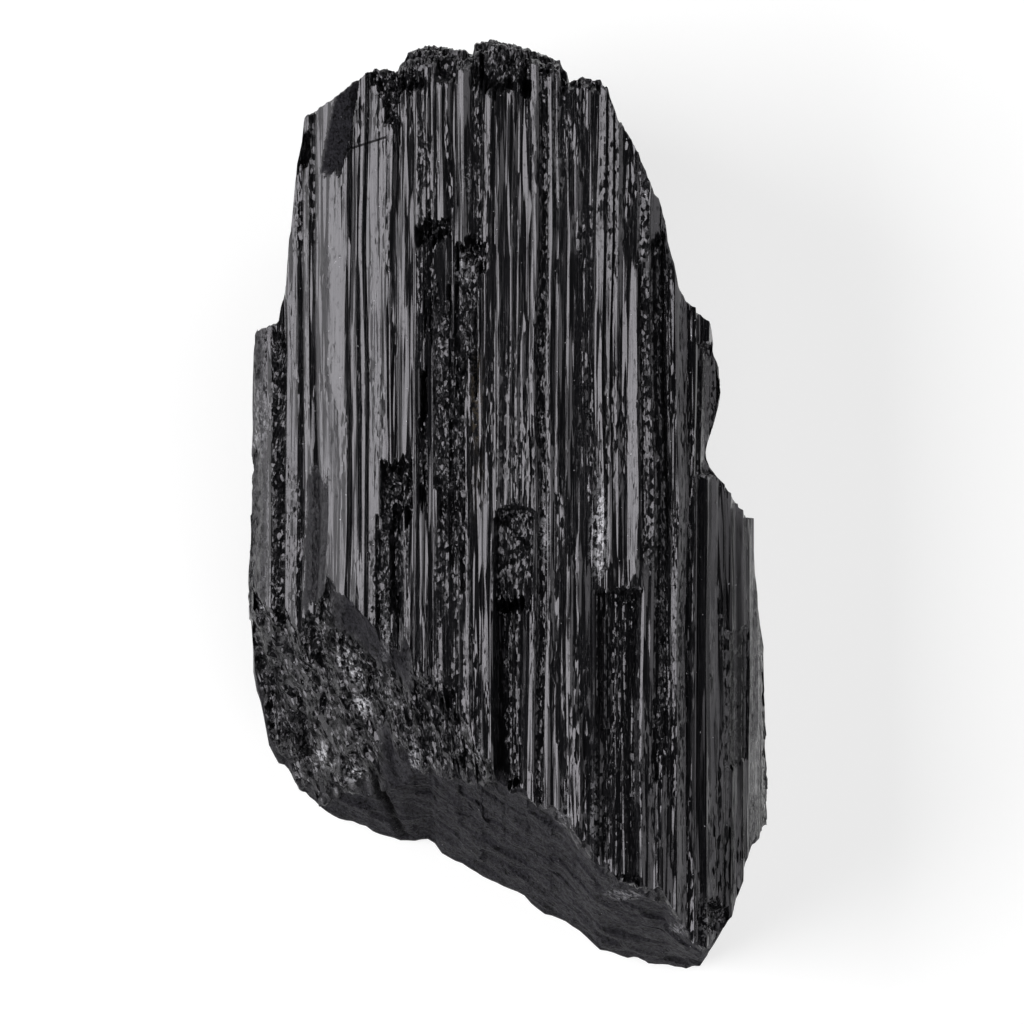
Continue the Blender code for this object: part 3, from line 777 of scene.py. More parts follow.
    bay: list[tuple[float, float]] = field(default_factory=lambda: [
        (2.0, 21.2), (2.9, 20.2), (4.5, 19.2), (6.0, 19.4), (7.6, 19.9), (9.2, 20.4), (10.7, 20.7),
        (12.2, 20.7), (13.7, 20.4), (14.9, 20.0), (16.5, 19.95), (17.3, 19.8), (17.6, 20.4), (17.8, 22.0),
    ])
    lane_seed: int = 21
    front_lane: Pair = (0.32, 0.95)
    side_lane: Pair = (0.9, 2.4)
    crest_share: Pair = (0.22, 0.5)
    lit_from: float = -3.0
    lit_leans: tuple[int, ...] = (34, 31, 27, 14, 7)
    other_leans: tuple[int, ...] = (34, 30, 14, 9, 5)
    gap_chance: float = 0.4
    widest_gap: float = 0.35
    rib_height: Pair = (0.03, 0.8)
    side_rib_slope: float = 0.3
    column_width: Triple = (0.045, 0.22, 0.30)
    rest_width: float = 27.8
    edge_top: float = 15.5
    crowding: Pair = (1.25, 1.15)
    mean_strength: float = 0.55
    swells: tuple[Pair, Pair] = ((11.0, 1.1), (3.5, 0.4))
    piece_length: float = 8.0
    stopped_share: float = 0.22
    stopped_height: float = 0.1
    overlap: float = 0.02
    cover: float = 0.85
    etched_relief: float = 0.07
    etched_rough: float = 0.8
    edge_chips: Pair = (0.16, 0.14)
    worn_to: Pair = (-23.6, -22.9)
    worn_relief: float = 0.10
    worn_dull: float = 0.25
    rest_groove: Pair = (0.8, 0.32)
    hollow_unevenness: float = 0.3
    hollow_chips: float = 0.25
    bay_rounds: int = 5
    bay_edge: float = 0.7
    bay_chips: float = 0.15
    swerves: Pair = (0.24, 0.20)
    left_step: tuple[Pair, Pair] = ((-11.1, -10.8), (-24.65, -26.0))
    # painted shade along the cleft and in streaks at the right edge
    cleft_shade: Pair = (0.45, 0.95)
    groove_shade_from: Pair = (20.2, 21.6)
    sharp_angle: float = 24.0

    def __post_init__(self) -> None:
        """Finds the resting face on the way round the outline, and lays the fine ribs."""
        starts = self.section.reach[len(self.section.front) + len(self.section.right)]
        self.rest_span = (starts - 0.01, starts + self.rest_width + 0.01)
        self.lane_table = self.lanes()

    def lanes(self) -> tuple[np.ndarray, np.ndarray]:
        """Lays fine ribs side by side all round the crystal.

        Returns:
            Rows of (left, crest, right) distances round the outline, and how steeply each left
            flank leans, as rise over run.
        """
        rng = random.Random(self.lane_seed)
        lanes, leans = [], []
        u = 0.0
        while u < self.section.length - 0.3:
            front = u < self.section.front_length
            width = rng.uniform(*(self.front_lane if front else self.side_lane))
            right = min(u + width, self.section.length)
            crest = u + (right - u) * rng.uniform(*self.crest_share)
            lanes.append((u, crest, right))
            lit = self.section.point(np.array(u))[0] > self.lit_from
            lean = rng.choice(self.lit_leans if lit else self.other_leans)
            leans.append(math.tan(math.radians(lean)))
            gap = rng.uniform(0.0, self.widest_gap) if front and rng.random() < self.gap_chance else 0.0
            u = right + gap
        return np.array(lanes), np.array(leans)

    def crest_height(self, left: np.ndarray, crest: np.ndarray, lean: np.ndarray) -> np.ndarray:
        """Outward height of a crest over the outline beneath it.

        Args:
            left: where the left flank starts, as a distance round the outline.
            crest: where the crest lies.
            lean: how steeply the left flank leans, as rise over run.

        Returns:
            Heights that give the flanks their lean.
        """
        foot, top = self.section.point(left), self.section.point(crest)
        run = top[..., 0] - foot[..., 0]
        normal = self.section.outward((left + crest) / 2)
        rise = lean * run - (top[..., 1] - foot[..., 1])
        front = crest < self.section.front_length
        outward = rise * np.clip(normal[..., 1], 0.15, 1)
        height = np.where(front, outward, (crest - left) * self.side_rib_slope)
        return np.clip(height, *self.rib_height)

    def columns(self, lanes: np.ndarray) -> np.ndarray:
        """Chooses where the mesh has its columns: on every edge of a rib or a break, and between.

        Args:
            lanes: the fine ribs.

        Returns:
            Distances round the outline.
        """
        narrowest, usual, widest = self.column_width
        front_end = self.section.front_length
        wanted = [v for lane in lanes for v in lane if v < front_end]
        wanted += list(self.section.reach[:len(self.section.front)])
        for rib in self.ribs:
            wanted += [self.section.along(x) for x in (rib.left, rib.crest, rib.right)]
        for place in self.breaks:
            for x in (place.left, place.right):
                wanted += [self.section.along(x) - 0.03, self.section.along(x) + 0.03]
        kept = [0.0]
        for u in sorted(wanted):
            while u - kept[-1] > widest:
                kept.append(kept[-1] + min(usual, (u - kept[-1]) / 2))
            if u - kept[-1] > narrowest:
                kept.append(u)
        back = np.linspace(front_end, self.section.length, self.columns_back, endpoint=False)
        return np.concatenate([[u for u in kept if u < front_end - 0.02], back])

    def fine_ribs(self, u: np.ndarray, y: np.ndarray) -> np.ndarray:
        """Relief of the fine ribs, which swell, thin out and stop along the crystal.

        Args:
            u: distances of the columns round the outline.
            y: places along the ribs.

        Returns:
            Outward heights.
        """
        lanes, leans = self.lane_table
        heights = self.crest_height(lanes[:, 0], lanes[:, 1], leans)
        lane = np.clip(np.searchsorted(lanes[:, 0], u, side="right") - 1, 0, len(lanes) - 1)
        left, crest, right = lanes[lane].T
        shape = np.clip(np.minimum((u - left) / (crest - left), (right - u) / (right - crest)), 0, 1)
        seed = np.broadcast_to(lane[:, None], y.shape)
        (long_swell, long_amount), (short_swell, short_amount) = self.swells
        strength = self.mean_strength + long_amount * grain(y / long_swell, seed * 7.31, 3)
        strength = strength + short_amount * grain(y / short_swell, seed * 3.7, 4)
        piece = np.floor(y / self.piece_length + seed * 0.37)
        step = np.where(hashed(seed, piece) < self.stopped_share, self.stopped_height, 1.0)
        return (shape * heights[lane])[:, None] * np.clip(strength, 0.0, 1.0) * step

    def raise_ribs(self, shift: np.ndarray, u: np.ndarray, y: np.ndarray) -> np.ndarray:
        """Raises the single ribs out of the fine ones, which they all but cover.

        Args:
            shift: outward heights so far.
            u: distances of the columns round the outline.
            y: places along the ribs.

        Returns:
            The new heights.
        """
        for rib in self.ribs:
            edges = [self.section.along(v) for v in (rib.left, rib.crest, rib.right)]
            height = float(self.crest_height(edges[0], edges[1], math.tan(math.radians(rib.tilt))))
            strength = rib.strength(y)
            turned = u[:, None] - rib.turn * y
            covered = ((turned > edges[0] - self.overlap) & (turned < edges[2] + self.overlap)) * strength
            shift = shift * (1 - self.cover * covered) + rib.ramp(turned, edges) * height * strength
        return shift

    def relief(
        self, u: np.ndarray, x: np.ndarray, y: np.ndarray,
    ) -> tuple[np.ndarray, np.ndarray, np.ndarray]:
        """Everything that shapes the sides: ribs, pitted strips, breaks and worn edges.

        Args:
            u: distances of the columns round the outline.
            x: places across the ribs.
            y: places along them.

        Returns:
            The outward shift, and how broken and how dull the surface is, from 0 to 1.
        """
        shift = self.raise_ribs(self.fine_ribs(u, y), u, y)
        front = (u < self.section.front_length)[:, None]
        rough, dull = np.zeros(y.shape), np.zeros(y.shape)
        for index, strip in enumerate(self.etched):
            patchy = np.clip(0.75 + 0.6 * grain(x * 1.7, y * 0.3, 300 + index), 0, 1)
            share = strip.share(x, y) * front * patchy * strip.strength
            shift = shift + share * (chips(x, y * 0.4, 0.45, 200 + index) * self.etched_relief)
            rough = np.maximum(rough, share * self.etched_rough)
        for index, place in enumerate(self.breaks):
            share = place.share(x, y, index) * front
            floor = place.floor(x, y, index)
            shift = shift * (1 - share * place.rough * 0.7) + share * (floor - place.depth)
            rough = np.maximum(rough, share * (0.25 + 0.75 * place.rough) * (1 - place.dull))
            dull = np.maximum(dull, share * place.dull)
        fine, coarse = self.edge_chips
        edge = chips(u[:, None] * 0.8, y, 0.8, 51) * fine + chips(u[:, None], y, 2.2, 52) * coarse
        upright = np.abs(self.section.outward(u)[:, :1]) > 0.8
        shift = shift + edge * (upright & (self.section.point(u)[:, 1:] < self.edge_top))
        worn = (1 - smooth(*self.worn_to, x)) * front
        rough = np.maximum(rough, worn * np.clip(0.6 + 0.6 * grain(x * 2.1, y * 0.4, 77), 0.2, 1))
        shift = shift + worn * chips(u[:, None], y * 0.6, 0.7, 78) * self.worn_relief
        dull = np.maximum(dull, worn * self.worn_dull)
        resting = (u > self.rest_span[0]) & (u < self.rest_span[1])
        share, level = self.rest_groove
        grooves = np.minimum(shift * share - level, 0.0)
        return np.where(resting[:, None], grooves, shift), rough, dull

    def sink(self, x: np.ndarray, y: np.ndarray, z: np.ndarray) -> tuple[np.ndarray, np.ndarray]:
        """Presses the hollows into the front.

        Args:
            x: places across the ribs.
            y: places along them.
            z: heights above the resting face.

        Returns:
            The new heights, and 1 where there is a hollow.
        """
        pitted = np.zeros(x.shape)
        for index, hollow in enumerate(self.hollows):
            (mid_x, mid_y, mid_z), (half_x, half_y, half_z) = hollow.centre, hollow.half
            uneven = 1 + self.hollow_unevenness * grain(x * 1.1, y * 1.1 + z * 0.7, 80 + index)
            off_x, off_y = (x - mid_x) / half_x, (y - mid_y) / half_y
            inside = 1 - (off_x * off_x + off_y * off_y) * uneven
            floor = mid_z - half_z * np.sqrt(np.clip(inside, 0, 1))
            floor = floor + self.hollow_chips * chips(x, y, 0.7, 90 + index)
            hit = (inside > 0) & (z > floor) & (z > mid_z - half_z)
            z = np.where(hit, floor, z)
            pitted = np.where(hit, 1.0, pitted)
        return z, pitted

    def cut_bay(self, bm: bmesh.types.BMesh) -> None:
        """Presses the bay into the right side, after adding points where its walls have none.

        Args:
            bm: the crystal, in millimetres.
        """
        lows, limits = np.array(self.bay).T
        for _ in range(self.bay_rounds):
            near = [
                edge for edge in bm.edges
                if abs(edge.verts[0].co.y - edge.verts[1].co.y) > self.bay_edge
                and min(v.co.y for v in edge.verts) < lows[-1] and max(v.co.y for v in edge.verts) > lows[0]
                and max(v.co.x for v in edge.verts) > limits.min()
            ]
            if near:
                bmesh.ops.subdivide_edges(bm, edges=near, cuts=1, use_grid_fill=True)
        inside = [v for v in bm.verts if lows[0] < v.co.y < lows[-1] and v.co.x > limits.min() - 0.5]
        spots = np.array([v.co for v in inside])
        ragged = chips(spots[:, 2], spots[:, 1] * 1.3, 0.9, 71) * self.bay_chips
        limit = np.interp(spots[:, 1], lows, limits) + ragged
        for vert, x in zip(inside, np.minimum(spots[:, 0], limit)):
            vert.co.x = x

    def thin_out(self, obj: bpy.types.Object) -> None:
        """Takes points off the long even flanks, which need few, until the face budget is met.

        Args:
            obj: the crystal.
        """
        triangles = sum(len(face.vertices) - 2 for face in obj.data.polygons)
        if triangles <= self.most_triangles:
            return
        modifier = obj.modifiers.new("thin_out", "DECIMATE")
        modifier.ratio = self.most_triangles / triangles
        graph = bpy.context.evaluated_depsgraph_get()
        thinned = bpy.data.meshes.new_from_object(obj.evaluated_get(graph), depsgraph=graph)
        obj.modifiers.clear()
        obj.data = thinned

    def ring_places(self, rim: np.ndarray, rings: int, crowding: float) -> tuple[np.ndarray, np.ndarray]:
        """Places of the rings that close one end.

        Args:
            rim: places of the end's rim.
            rings: how many rings there are.
            crowding: how closely they crowd towards the rim.

        Returns:
            x and z of every ring, from the rim inwards.
        """
        centre = np.array(self.axis)
        reach = 1 - (np.arange(rings - 1, 0, -1) / rings) ** crowding
        places = centre + (rim[:, None, [0, 2]] - centre) * reach[None, ::-1, None]
        return places[..., 0], places[..., 1]

    def sheet(self, u: np.ndarray) -> tuple[np.ndarray, np.ndarray, np.ndarray]:
        """Works out the rolled sheet, from the pole of the crown to the pole of the foot.

        Args:
            u: distances of the columns round the outline.

        Returns:
            Places by column and row, how broken they are and how dull.
        """
        base, outward = self.section.point(u), self.section.outward(u)
        top = self.crown.height(base[:, 0], base[:, 1])[:, None]
        bottom = self.foot.height(base[:, 0], base[:, 1])[0][:, None]
        y = top + (bottom - top) * np.linspace(0, 1, self.rows_side + 1)[None, :]
        x = np.broadcast_to(base[:, :1], y.shape)
        shift, rough, matt = self.relief(u, x, y)
        side = np.stack([x + outward[:, :1] * shift, y, base[:, 1:] + outward[:, 1:] * shift], axis=-1)

        ring_x, ring_z = self.ring_places(side[:, 0], self.rows_crown, self.crowding[0])
        crown = np.stack([ring_x, self.crown.height(ring_x, ring_z), ring_z], axis=-1)
        ring_x, ring_z = self.ring_places(side[:, -1], self.rows_foot, self.crowding[1])
        height, crumbled = self.foot.height(ring_x, ring_z)
        foot = np.stack([ring_x, height, ring_z], axis=-1)
        pole_x, pole_z = np.array([[self.axis[0]]]), np.array([[self.axis[1]]])
        ends = (self.crown.height(pole_x, pole_z)[0, 0], self.foot.height(pole_x, pole_z)[0][0, 0])
        pole_top, pole_low = (
            np.broadcast_to([self.axis[0], end, self.axis[1]], (len(u), 1, 3)) for end in ends
        )
        places = np.concatenate([pole_top, crown[:, ::-1], side, foot, pole_low], axis=1)
        zeros = np.zeros((len(u), self.rows_crown))
        broken = np.concatenate([zeros + 0.6, rough, 0.3 + 0.7 * crumbled, zeros[:, :1]], axis=1)
        dull = np.concatenate([zeros, matt, 1 - crumbled, zeros[:, :1] + 1], axis=1)
        return places, broken, dull

    def zones(self, x: np.ndarray, y: np.ndarray, z: np.ndarray) -> dict[Zone, np.ndarray]:
        """Works out the zones that don't come with the relief.

        Args:
            x: places across the ribs.
            y: places along them.
            z: heights above the resting face.

        Returns:
            For each of these zones, its share of every place.
        """
        zones = {}
        for zone, patches in ((Zone.DUST, self.dust), (Zone.BROWN, self.stains), (Zone.EVEN, self.even)):
            zones[zone] = np.max([patch.share(x, y) for patch in patches], axis=0) * (z > 8)
        # painted shade: dark along the cleft in the dull face, and in streaks at the right edge as of fine
        # grooves
        away, share = self.foot.cleft(x, z)
        cleft = (1 - smooth(*self.cleft_shade, away + 0.3 * share)) * (y < -24) * (z < self.edge_top)
        groove_shade = smooth(*self.groove_shade_from, x) * (y < -1) * (z > 6)
        groove_shade = groove_shade * np.clip(0.5 + 0.9 * grain(x * 2.7, y * 0.05, 79), 0.0, 0.9)
        zones[Zone.PAINTED_SHADE] = np.maximum(cleft, groove_shade)
        return zones

    def build(self) -> bpy.types.Object:
        """Makes the crystal.

        Returns:
            The mesh object at the origin, with the zones as point attributes.
        """
        u = self.columns(self.lane_table[0])
        count, rows = len(u), self.rows_crown + self.rows_side + self.rows_foot
        log.info("crystal mesh: %d columns, %d rows", count, rows)
        bm = bmesh.new()
        bmesh.ops.create_grid(bm, x_segments=count, y_segments=rows, size=1.0)
        flat = np.array([v.co for v in bm.verts])
        column = np.round((flat[:, 0] + 1) / 2 * count).astype(int) % count
        row = np.round((flat[:, 1] + 1) / 2 * rows).astype(int)
        places, broken, dull = (values[column, row] for values in self.sheet(u))

        x, y, z = places.T
        wide, narrow = self.swerves
        swerve = wide * grain(x / 3.1, y / 19.0, 61) + narrow * grain(x / 1.7, y / 13.0, 62)
        x = x + swerve * smooth(8.0, 14.0, z)
        x = np.maximum(x, np.interp(y, *self.left_step))
        z, pitted = self.sink(x, y, z)
        z = np.maximum(z, 0.0)
        zones = {Zone.BROKEN: np.maximum(broken, pitted), Zone.DULL: dull, **self.zones(x, y, z)}
        layers = [bm.verts.layers.float.new(zone.value) for zone in zones]
        for index, (vert, co) in enumerate(zip(bm.verts, np.stack([x, y, z], axis=-1))):
            vert.co = co
            for layer, values in zip(layers, zones.values()):
                vert[layer] = values[index]
        bmesh.ops.remove_doubles(bm, verts=bm.verts, dist=1e-5)
        self.cut_bay(bm)
        bmesh.ops.translate(bm, verts=bm.verts, vec=(*self.offset, 0.0))
        bmesh.ops.scale(bm, verts=bm.verts, vec=(MM, MM, MM))
        bmesh.ops.recalc_face_normals(bm, faces=bm.faces)
        mesh = bpy.data.meshes.new("crystal_skin")
        bm.to_mesh(mesh)
        bm.free()
        obj = bpy.data.objects.new("crystal_skin", mesh)
        bpy.context.scene.collection.objects.link(obj)
        self.thin_out(obj)
        obj.data.shade_smooth()
        obj.data.set_sharp_from_angle(angle=math.radians(self.sharp_angle))
        log.info("crystal skin: %d points, %d faces", len(obj.data.vertices), len(obj.data.polygons))
        return obj


def linear(code: str) -> tuple[float, float, float, float]:
    """Turns an sRGB colour to linear light.

    Args:
        code: a hex code such as #1a1a1c.

    Returns:
        Red, green, blue and full alpha.
    """
    parts = [int(code[i:i + 2], 16) / 255 for i in (1, 3, 5)]
    turned = [c / 12.92 if c <= 0.04045 else ((c + 0.055) / 1.055) ** 2.4 for c in parts]
    return (*turned, 1.0)


def add_node(
    tree: bpy.types.NodeTree, kind: str, links: dict[str | int, Any] | None = None, **settings: Any,
) -> bpy.types.Node:
    """Adds a shader node.

    Args:
        tree: the material's node tree.
        kind: the node's type name.
        links: input name or number to what feeds it: a socket, a node's first output, or a constant.
        settings: properties of the node itself.

    Returns:
        The new node.
    """
    node = tree.nodes.new(kind)
    for key, value in settings.items():
        setattr(node, key, value)
    for key, value in (links or {}).items():
        if isinstance(value, bpy.types.Node):
            value = value.outputs[0]
        if isinstance(value, bpy.types.NodeSocket):
            tree.links.new(value, node.inputs[key])
        else:
            node.inputs[key].default_value = value
    return node


@dataclass(frozen=True)
class Pattern:
    """A procedural pattern, sized by how many of its grains fit in a millimetre.

    Args:
        across: grains per millimetre across the ribs.
        along: grains per millimetre along them.
        deep: grains per millimetre into the crystal.
        detail: how many finer layers of noise it has.
        rough: strength of each finer layer against the one before.
        low: value at which its spots start to show.
        high: value from which they show in full.
    """

    across: float
    along: float
    deep: float
    detail: float = 0.0
    rough: float = 0.55
    low: float = 0.0
    high: float = 1.0

    def places(self, tree: bpy.types.NodeTree, place: bpy.types.NodeSocket) -> bpy.types.Node:
        """Places in grains, from places in metres."""
        scale = tuple(count / MM for count in (self.across, self.along, self.deep))
        return add_node(tree, "ShaderNodeMapping", {"Vector": place, "Scale": scale})

    def flecks(self, tree: bpy.types.NodeTree, place: bpy.types.NodeSocket) -> bpy.types.Node:
        """Soft noise from 0 to 1, from places in metres."""
        spot = self.places(tree, place)
        links = {"Vector": spot, "Scale": 1.0, "Detail": self.detail, "Roughness": self.rough}
        return add_node(tree, "ShaderNodeTexNoise", links)

    def spots(self, tree: bpy.types.NodeTree, flecks: bpy.types.Node) -> bpy.types.Node:
        """Spots from 0 to 1 where the flecks are past the pattern's low value."""
        return add_node(tree, RANGE, {"Value": flecks, "From Min": self.low, "From Max": self.high})

    def facets(
        self, tree: bpy.types.NodeTree, place: bpy.types.NodeSocket, dimensions: str = "3D",
    ) -> bpy.types.NodeSocket:
        """Relief of flat little faces, each leaning its own way.

        Args:
            tree: the material's node tree.
            place: places in metres.
            dimensions: 2D leaves the depth out.

        Returns:
            Heights, in grains.
        """
        spot = self.places(tree, place)
        cells = add_node(
            tree, "ShaderNodeTexVoronoi", {"Vector": spot, "Scale": 1.0}, voronoi_dimensions=dimensions,
        )
        off = add_node(tree, VECTOR, {0: spot, 1: cells.outputs["Position"]}, operation="SUBTRACT")
        lean = add_node(tree, VECTOR, {0: cells.outputs["Color"], 1: (0.5, 0.5, 0.5)}, operation="SUBTRACT")
        return add_node(tree, VECTOR, {0: off, 1: lean}, operation="DOT_PRODUCT").outputs["Value"]


@dataclass(frozen=True)
class BlackTourmaline:
    """Black tourmaline as it grew and as it broke.

    It is opaque with a lustre like glass. A growth face is black, or pale where it leans to a light,
    and its growth lines cut that light into fine threads. A rough break scatters the light and shows
    dark grains with small sparks, and the slanted break at the foot is matt and even.

    Args:
        glassy: colour of the growth faces.
        broken: colour of the rough breaks.
        dull: darker colour of the matt break.
        dull_light: lighter colour of the matt break.
        crumb: colour of the pale mineral crumbs.
        deep: colour of the crack, and of the painted shade of hollows, holes, the cleft and the streaks at
            the right edge.
        stain: colour of the brown stain.
        sheen: tint of the reflected light.
        ior: index of refraction, as usual for tourmaline.
        glassy_roughness: least and most roughness of the growth faces.
        broken_roughness: roughness of the breaks.
        dull_roughness: roughness of the matt break.
        glassy_gloss: gloss of the growth faces, and of their pits.
        broken_gloss: gloss of the breaks.
        dull_gloss: gloss of the matt break.
        painted_shade_gloss: gloss of the crack and of the painted shade.
        crack: the thin crack over the left facets, from one (x, y) to another, in metres.
        crack_width: half its width, in metres.
        crack_above: height above which it shows, in metres.
        unrolling: how far a step in depth counts as a step across, where lines ignore depth.
        thin_relief: relief of the thin lines, in millimetres per grain.
        hair_relief: relief of the hair lines.
        pitting_relief: relief of the pitting.
        broken_relief: relief of the broken faces in the breaks.
        dull_relief: relief of the broken faces in the matt break.
        matt_relief: relief of the matt grain.
    """

    glassy: str = "#0c0c0e"
    broken: str = "#0d0d0f"
    dull: str = "#1f1e22"
    dull_light: str = "#343338"
    crumb: str = "#b9b8bd"
    # near-black of the crack and of the painted shade
    deep: str = "#060607"
    stain: str = "#3a342b"
    sheen: str = "#fbf8ff"
    ior: float = 1.64
    glassy_roughness: Pair = (0.11, 0.28)
    broken_roughness: float = 0.24
    dull_roughness: float = 0.62
    glassy_gloss: Pair = (0.5, 0.25)
    broken_gloss: float = 0.42
    dull_gloss: float = 0.04
    # gloss of the crack and of the painted shade
    painted_shade_gloss: float = 0.06
    crack: tuple[Pair, Pair] = ((-0.0156, 0.0345), (-0.0117, 0.0357))
    crack_width: float = 0.00012
    crack_above: float = 0.015
    unrolling: float = 0.45
    thin_relief: float = 0.16
    hair_relief: float = 0.12
    pitting_relief: float = 0.18
    broken_relief: float = 0.5
    dull_relief: float = 0.2
    matt_relief: float = 0.8
    # Growth lines 0.3 mm wide and 18 mm long, then 0.2 mm wide and 6 mm long. The finest real ones
    # are narrower and would not show.
    thin_lines: Pattern = Pattern(3.3, 0.055, 3.3)
    hair_lines: Pattern = Pattern(5.2, 0.16, 5.2)
    # Pits 0.2 mm wide and 1 mm long in the growth faces, and broken faces of 0.35 x 0.5 mm.
    pitting: Pattern = Pattern(4.6, 1.0, 4.6)
    broken_faces: Pattern = Pattern(2.9, 1.9, 2.9)
    # Areas 2 mm wide and 14 mm long, where the thin lines show or the pits between them do.
    patches: Pattern = Pattern(0.5, 0.07, 0.5, 2.0, low=0.45, high=0.65)
    bare: Pattern = Pattern(0.5, 0.07, 0.5, 2.0, low=0.5, high=0.6)
    # Painted shade: dark spots of about 1 mm for hollows in the breaks, and of 0.4 mm for holes in the matt
    # break.
    hollows: Pattern = Pattern(0.95, 0.7, 0.95, 3.0, 0.62, 0.5, 0.6)
    holes: Pattern = Pattern(2.6, 2.0, 0.8, 3.0, 0.6, 0.575, 0.615)
    # Specks of 0.2 mm on the glassy faces, pits that dim them, and the grain of crumbs and stain.
    dots: Pattern = Pattern(4.6, 3.8, 4.6, 1.0, low=0.79, high=0.81)
    pits: Pattern = Pattern(2.6, 1.5, 2.6, 3.0, 0.6, 0.58, 0.7)
    speckle: Pattern = Pattern(2.2, 1.9, 2.2, 3.0, 0.7, 0.49, 0.55)
    # Mottling and grain of 0.3 to 0.8 mm in the matt break.
    mottling: Pattern = Pattern(3.6, 3.6, 1.2, 2.0, low=0.35, high=0.65)
    matt_grain: Pattern = Pattern(3.6, 2.4, 1.2, 3.0, 0.7)

    def material(self) -> bpy.types.Material:
        """Builds the node material.

        Returns:
            The finished material.
        """
        material = bpy.data.materials.new(SLOT)
        material.use_nodes = True
        tree = material.node_tree
        place = add_node(tree, "ShaderNodeTexCoord").outputs["Object"]
        zones = {
            zone: add_node(tree, "ShaderNodeAttribute", attribute_name=zone.value).outputs["Fac"]
            for zone in Zone
        }
        patches = self.patches.flecks(tree, place)
        # the crack, and the places where shade is painted
        dark = self.painted_shade_and_crack(tree, place, zones)
        made = {
            "Base Color": self.colouring(tree, place, zones, dark),
            "Roughness": self.roughness(tree, zones, patches),
            "Specular IOR Level": self.gloss(tree, place, zones, dark),
            "Normal": self.fine_relief(tree, place, zones, patches),
        }
        shader = tree.nodes["Principled BSDF"]
        for name, socket in made.items():
            tree.links.new(socket, shader.inputs[name])
        shader.inputs["IOR"].default_value = self.ior
        shader.inputs["Specular Tint"].default_value = linear(self.sheen)
        return material

    def crack_line(self, tree: bpy.types.NodeTree, place: bpy.types.NodeSocket) -> bpy.types.Node:
        """Draws the thin crack.

        Args:
            tree: the material's node tree.
            place: places in metres.

        Returns:
            A node that gives 1 on the crack and 0 beside it.
        """
        add = partial(add_node, tree)
        spot = add("ShaderNodeSeparateXYZ", {0: place}).outputs
        (start_x, start_y), (end_x, end_y) = self.crack
        slope = (end_y - start_y) / (end_x - start_x)
        along = add(MATH, {0: spot["X"], 1: start_x}, operation="SUBTRACT")
        climb = add(MATH, {0: along, 1: slope}, operation="MULTIPLY")
        above = add(MATH, {0: spot["Y"], 1: start_y}, operation="SUBTRACT")
        aside = add(MATH, {0: add(MATH, {0: above, 1: climb}, operation="SUBTRACT")}, operation="ABSOLUTE")
        crack = add(MATH, {0: aside, 1: self.crack_width}, operation="LESS_THAN")
        limits = (
            (along, 0.0, "GREATER_THAN"),
            (along, end_x - start_x, "LESS_THAN"),
            (spot["Z"], self.crack_above, "GREATER_THAN"),
        )
        for value, limit, kind in limits:
            inside = add(MATH, {0: value, 1: limit}, operation=kind)
            crack = add(MATH, {0: crack, 1: inside}, operation="MULTIPLY")
        return crack

    def painted_shade_and_crack(
        self, tree: bpy.types.NodeTree, place: bpy.types.NodeSocket, zones: dict[Zone, bpy.types.NodeSocket],
    ) -> bpy.types.Node:
        """Gathers the crack and the places where shade is painted.

        Args:
            tree: the material's node tree.
            place: places in metres.
            zones: share of each zone.

        Returns:
            A node that gives 1 on the crack and in the painted shade of hollows, holes, the cleft and the
            streaks at the right edge.
        """
        add = partial(add_node, tree)
        # painted shade: dark spots for hollows in the breaks and for holes in the matt break
        hollow = self.hollows.spots(tree, self.hollows.flecks(tree, place))
        hollow = add(MATH, {0: hollow, 1: zones[Zone.BROKEN]}, operation="MULTIPLY")
        holes = self.holes.spots(tree, self.holes.flecks(tree, place))
        holes = add(MATH, {0: holes, 1: zones[Zone.DULL]}, operation="MULTIPLY")
        dark = self.crack_line(tree, place)
        for other in (hollow, holes, zones[Zone.PAINTED_SHADE]):
            dark = add(MATH, {0: dark, 1: other}, operation="MAXIMUM")
        return dark

    def colouring(
        self, tree: bpy.types.NodeTree, place: bpy.types.NodeSocket, zones: dict[Zone, bpy.types.NodeSocket],
        dark: bpy.types.Node,
    ) -> bpy.types.NodeSocket:
        """Lays the colours over each other.

        Args:
            tree: the material's node tree.
            place: places in metres.
            zones: share of each zone.
            dark: the crack, and where shade is painted.

        Returns:
            The colour.
        """
        add = partial(add_node, tree)
        mottled = self.mottling.spots(tree, self.mottling.flecks(tree, place))
        blend = {0: mottled, 6: linear(self.dull), 7: linear(self.dull_light)}
        matt = add(MIX, blend, data_type="RGBA").outputs[2]
        speckle = self.speckle.spots(tree, self.speckle.flecks(tree, place))
        stain = add(MATH, {0: zones[Zone.BROWN], 1: speckle}, operation="MULTIPLY")
        crumbs = add(MATH, {0: zones[Zone.DUST], 1: speckle}, operation="MULTIPLY")
        layers = (
            (zones[Zone.BROKEN], linear(self.broken)),
            (zones[Zone.DULL], matt),
            (stain, linear(self.stain)),
            (crumbs, linear(self.crumb)),
            # the crack, and the painted shade, in near-black
            (dark, linear(self.deep)),
            (self.dots.spots(tree, self.dots.flecks(tree, place)), linear(self.crumb)),
        )
        colour = linear(self.glassy)
        for share, over in layers:
            colour = add(MIX, {0: share, 6: colour, 7: over}, data_type="RGBA").outputs[2]
        return colour

    def roughness(
        self, tree: bpy.types.NodeTree, zones: dict[Zone, bpy.types.NodeSocket], patches: bpy.types.Node,
    ) -> bpy.types.NodeSocket:
        """Blends the roughness of the growth faces, the breaks and the matt break.

        Args:
            tree: the material's node tree.
            zones: share of each zone.
            patches: noise that makes the growth faces uneven.

        Returns:
            The roughness.
        """
        smoothest, roughest = self.glassy_roughness
        value = add_node(tree, MIX, {"Factor": patches, "A": smoothest, "B": roughest})
        value = add_node(tree, MIX, {"Factor": zones[Zone.BROKEN], "A": value, "B": self.broken_roughness})
        value = add_node(tree, MIX, {"Factor": zones[Zone.DULL], "A": value, "B": self.dull_roughness})
        return value.outputs[0]

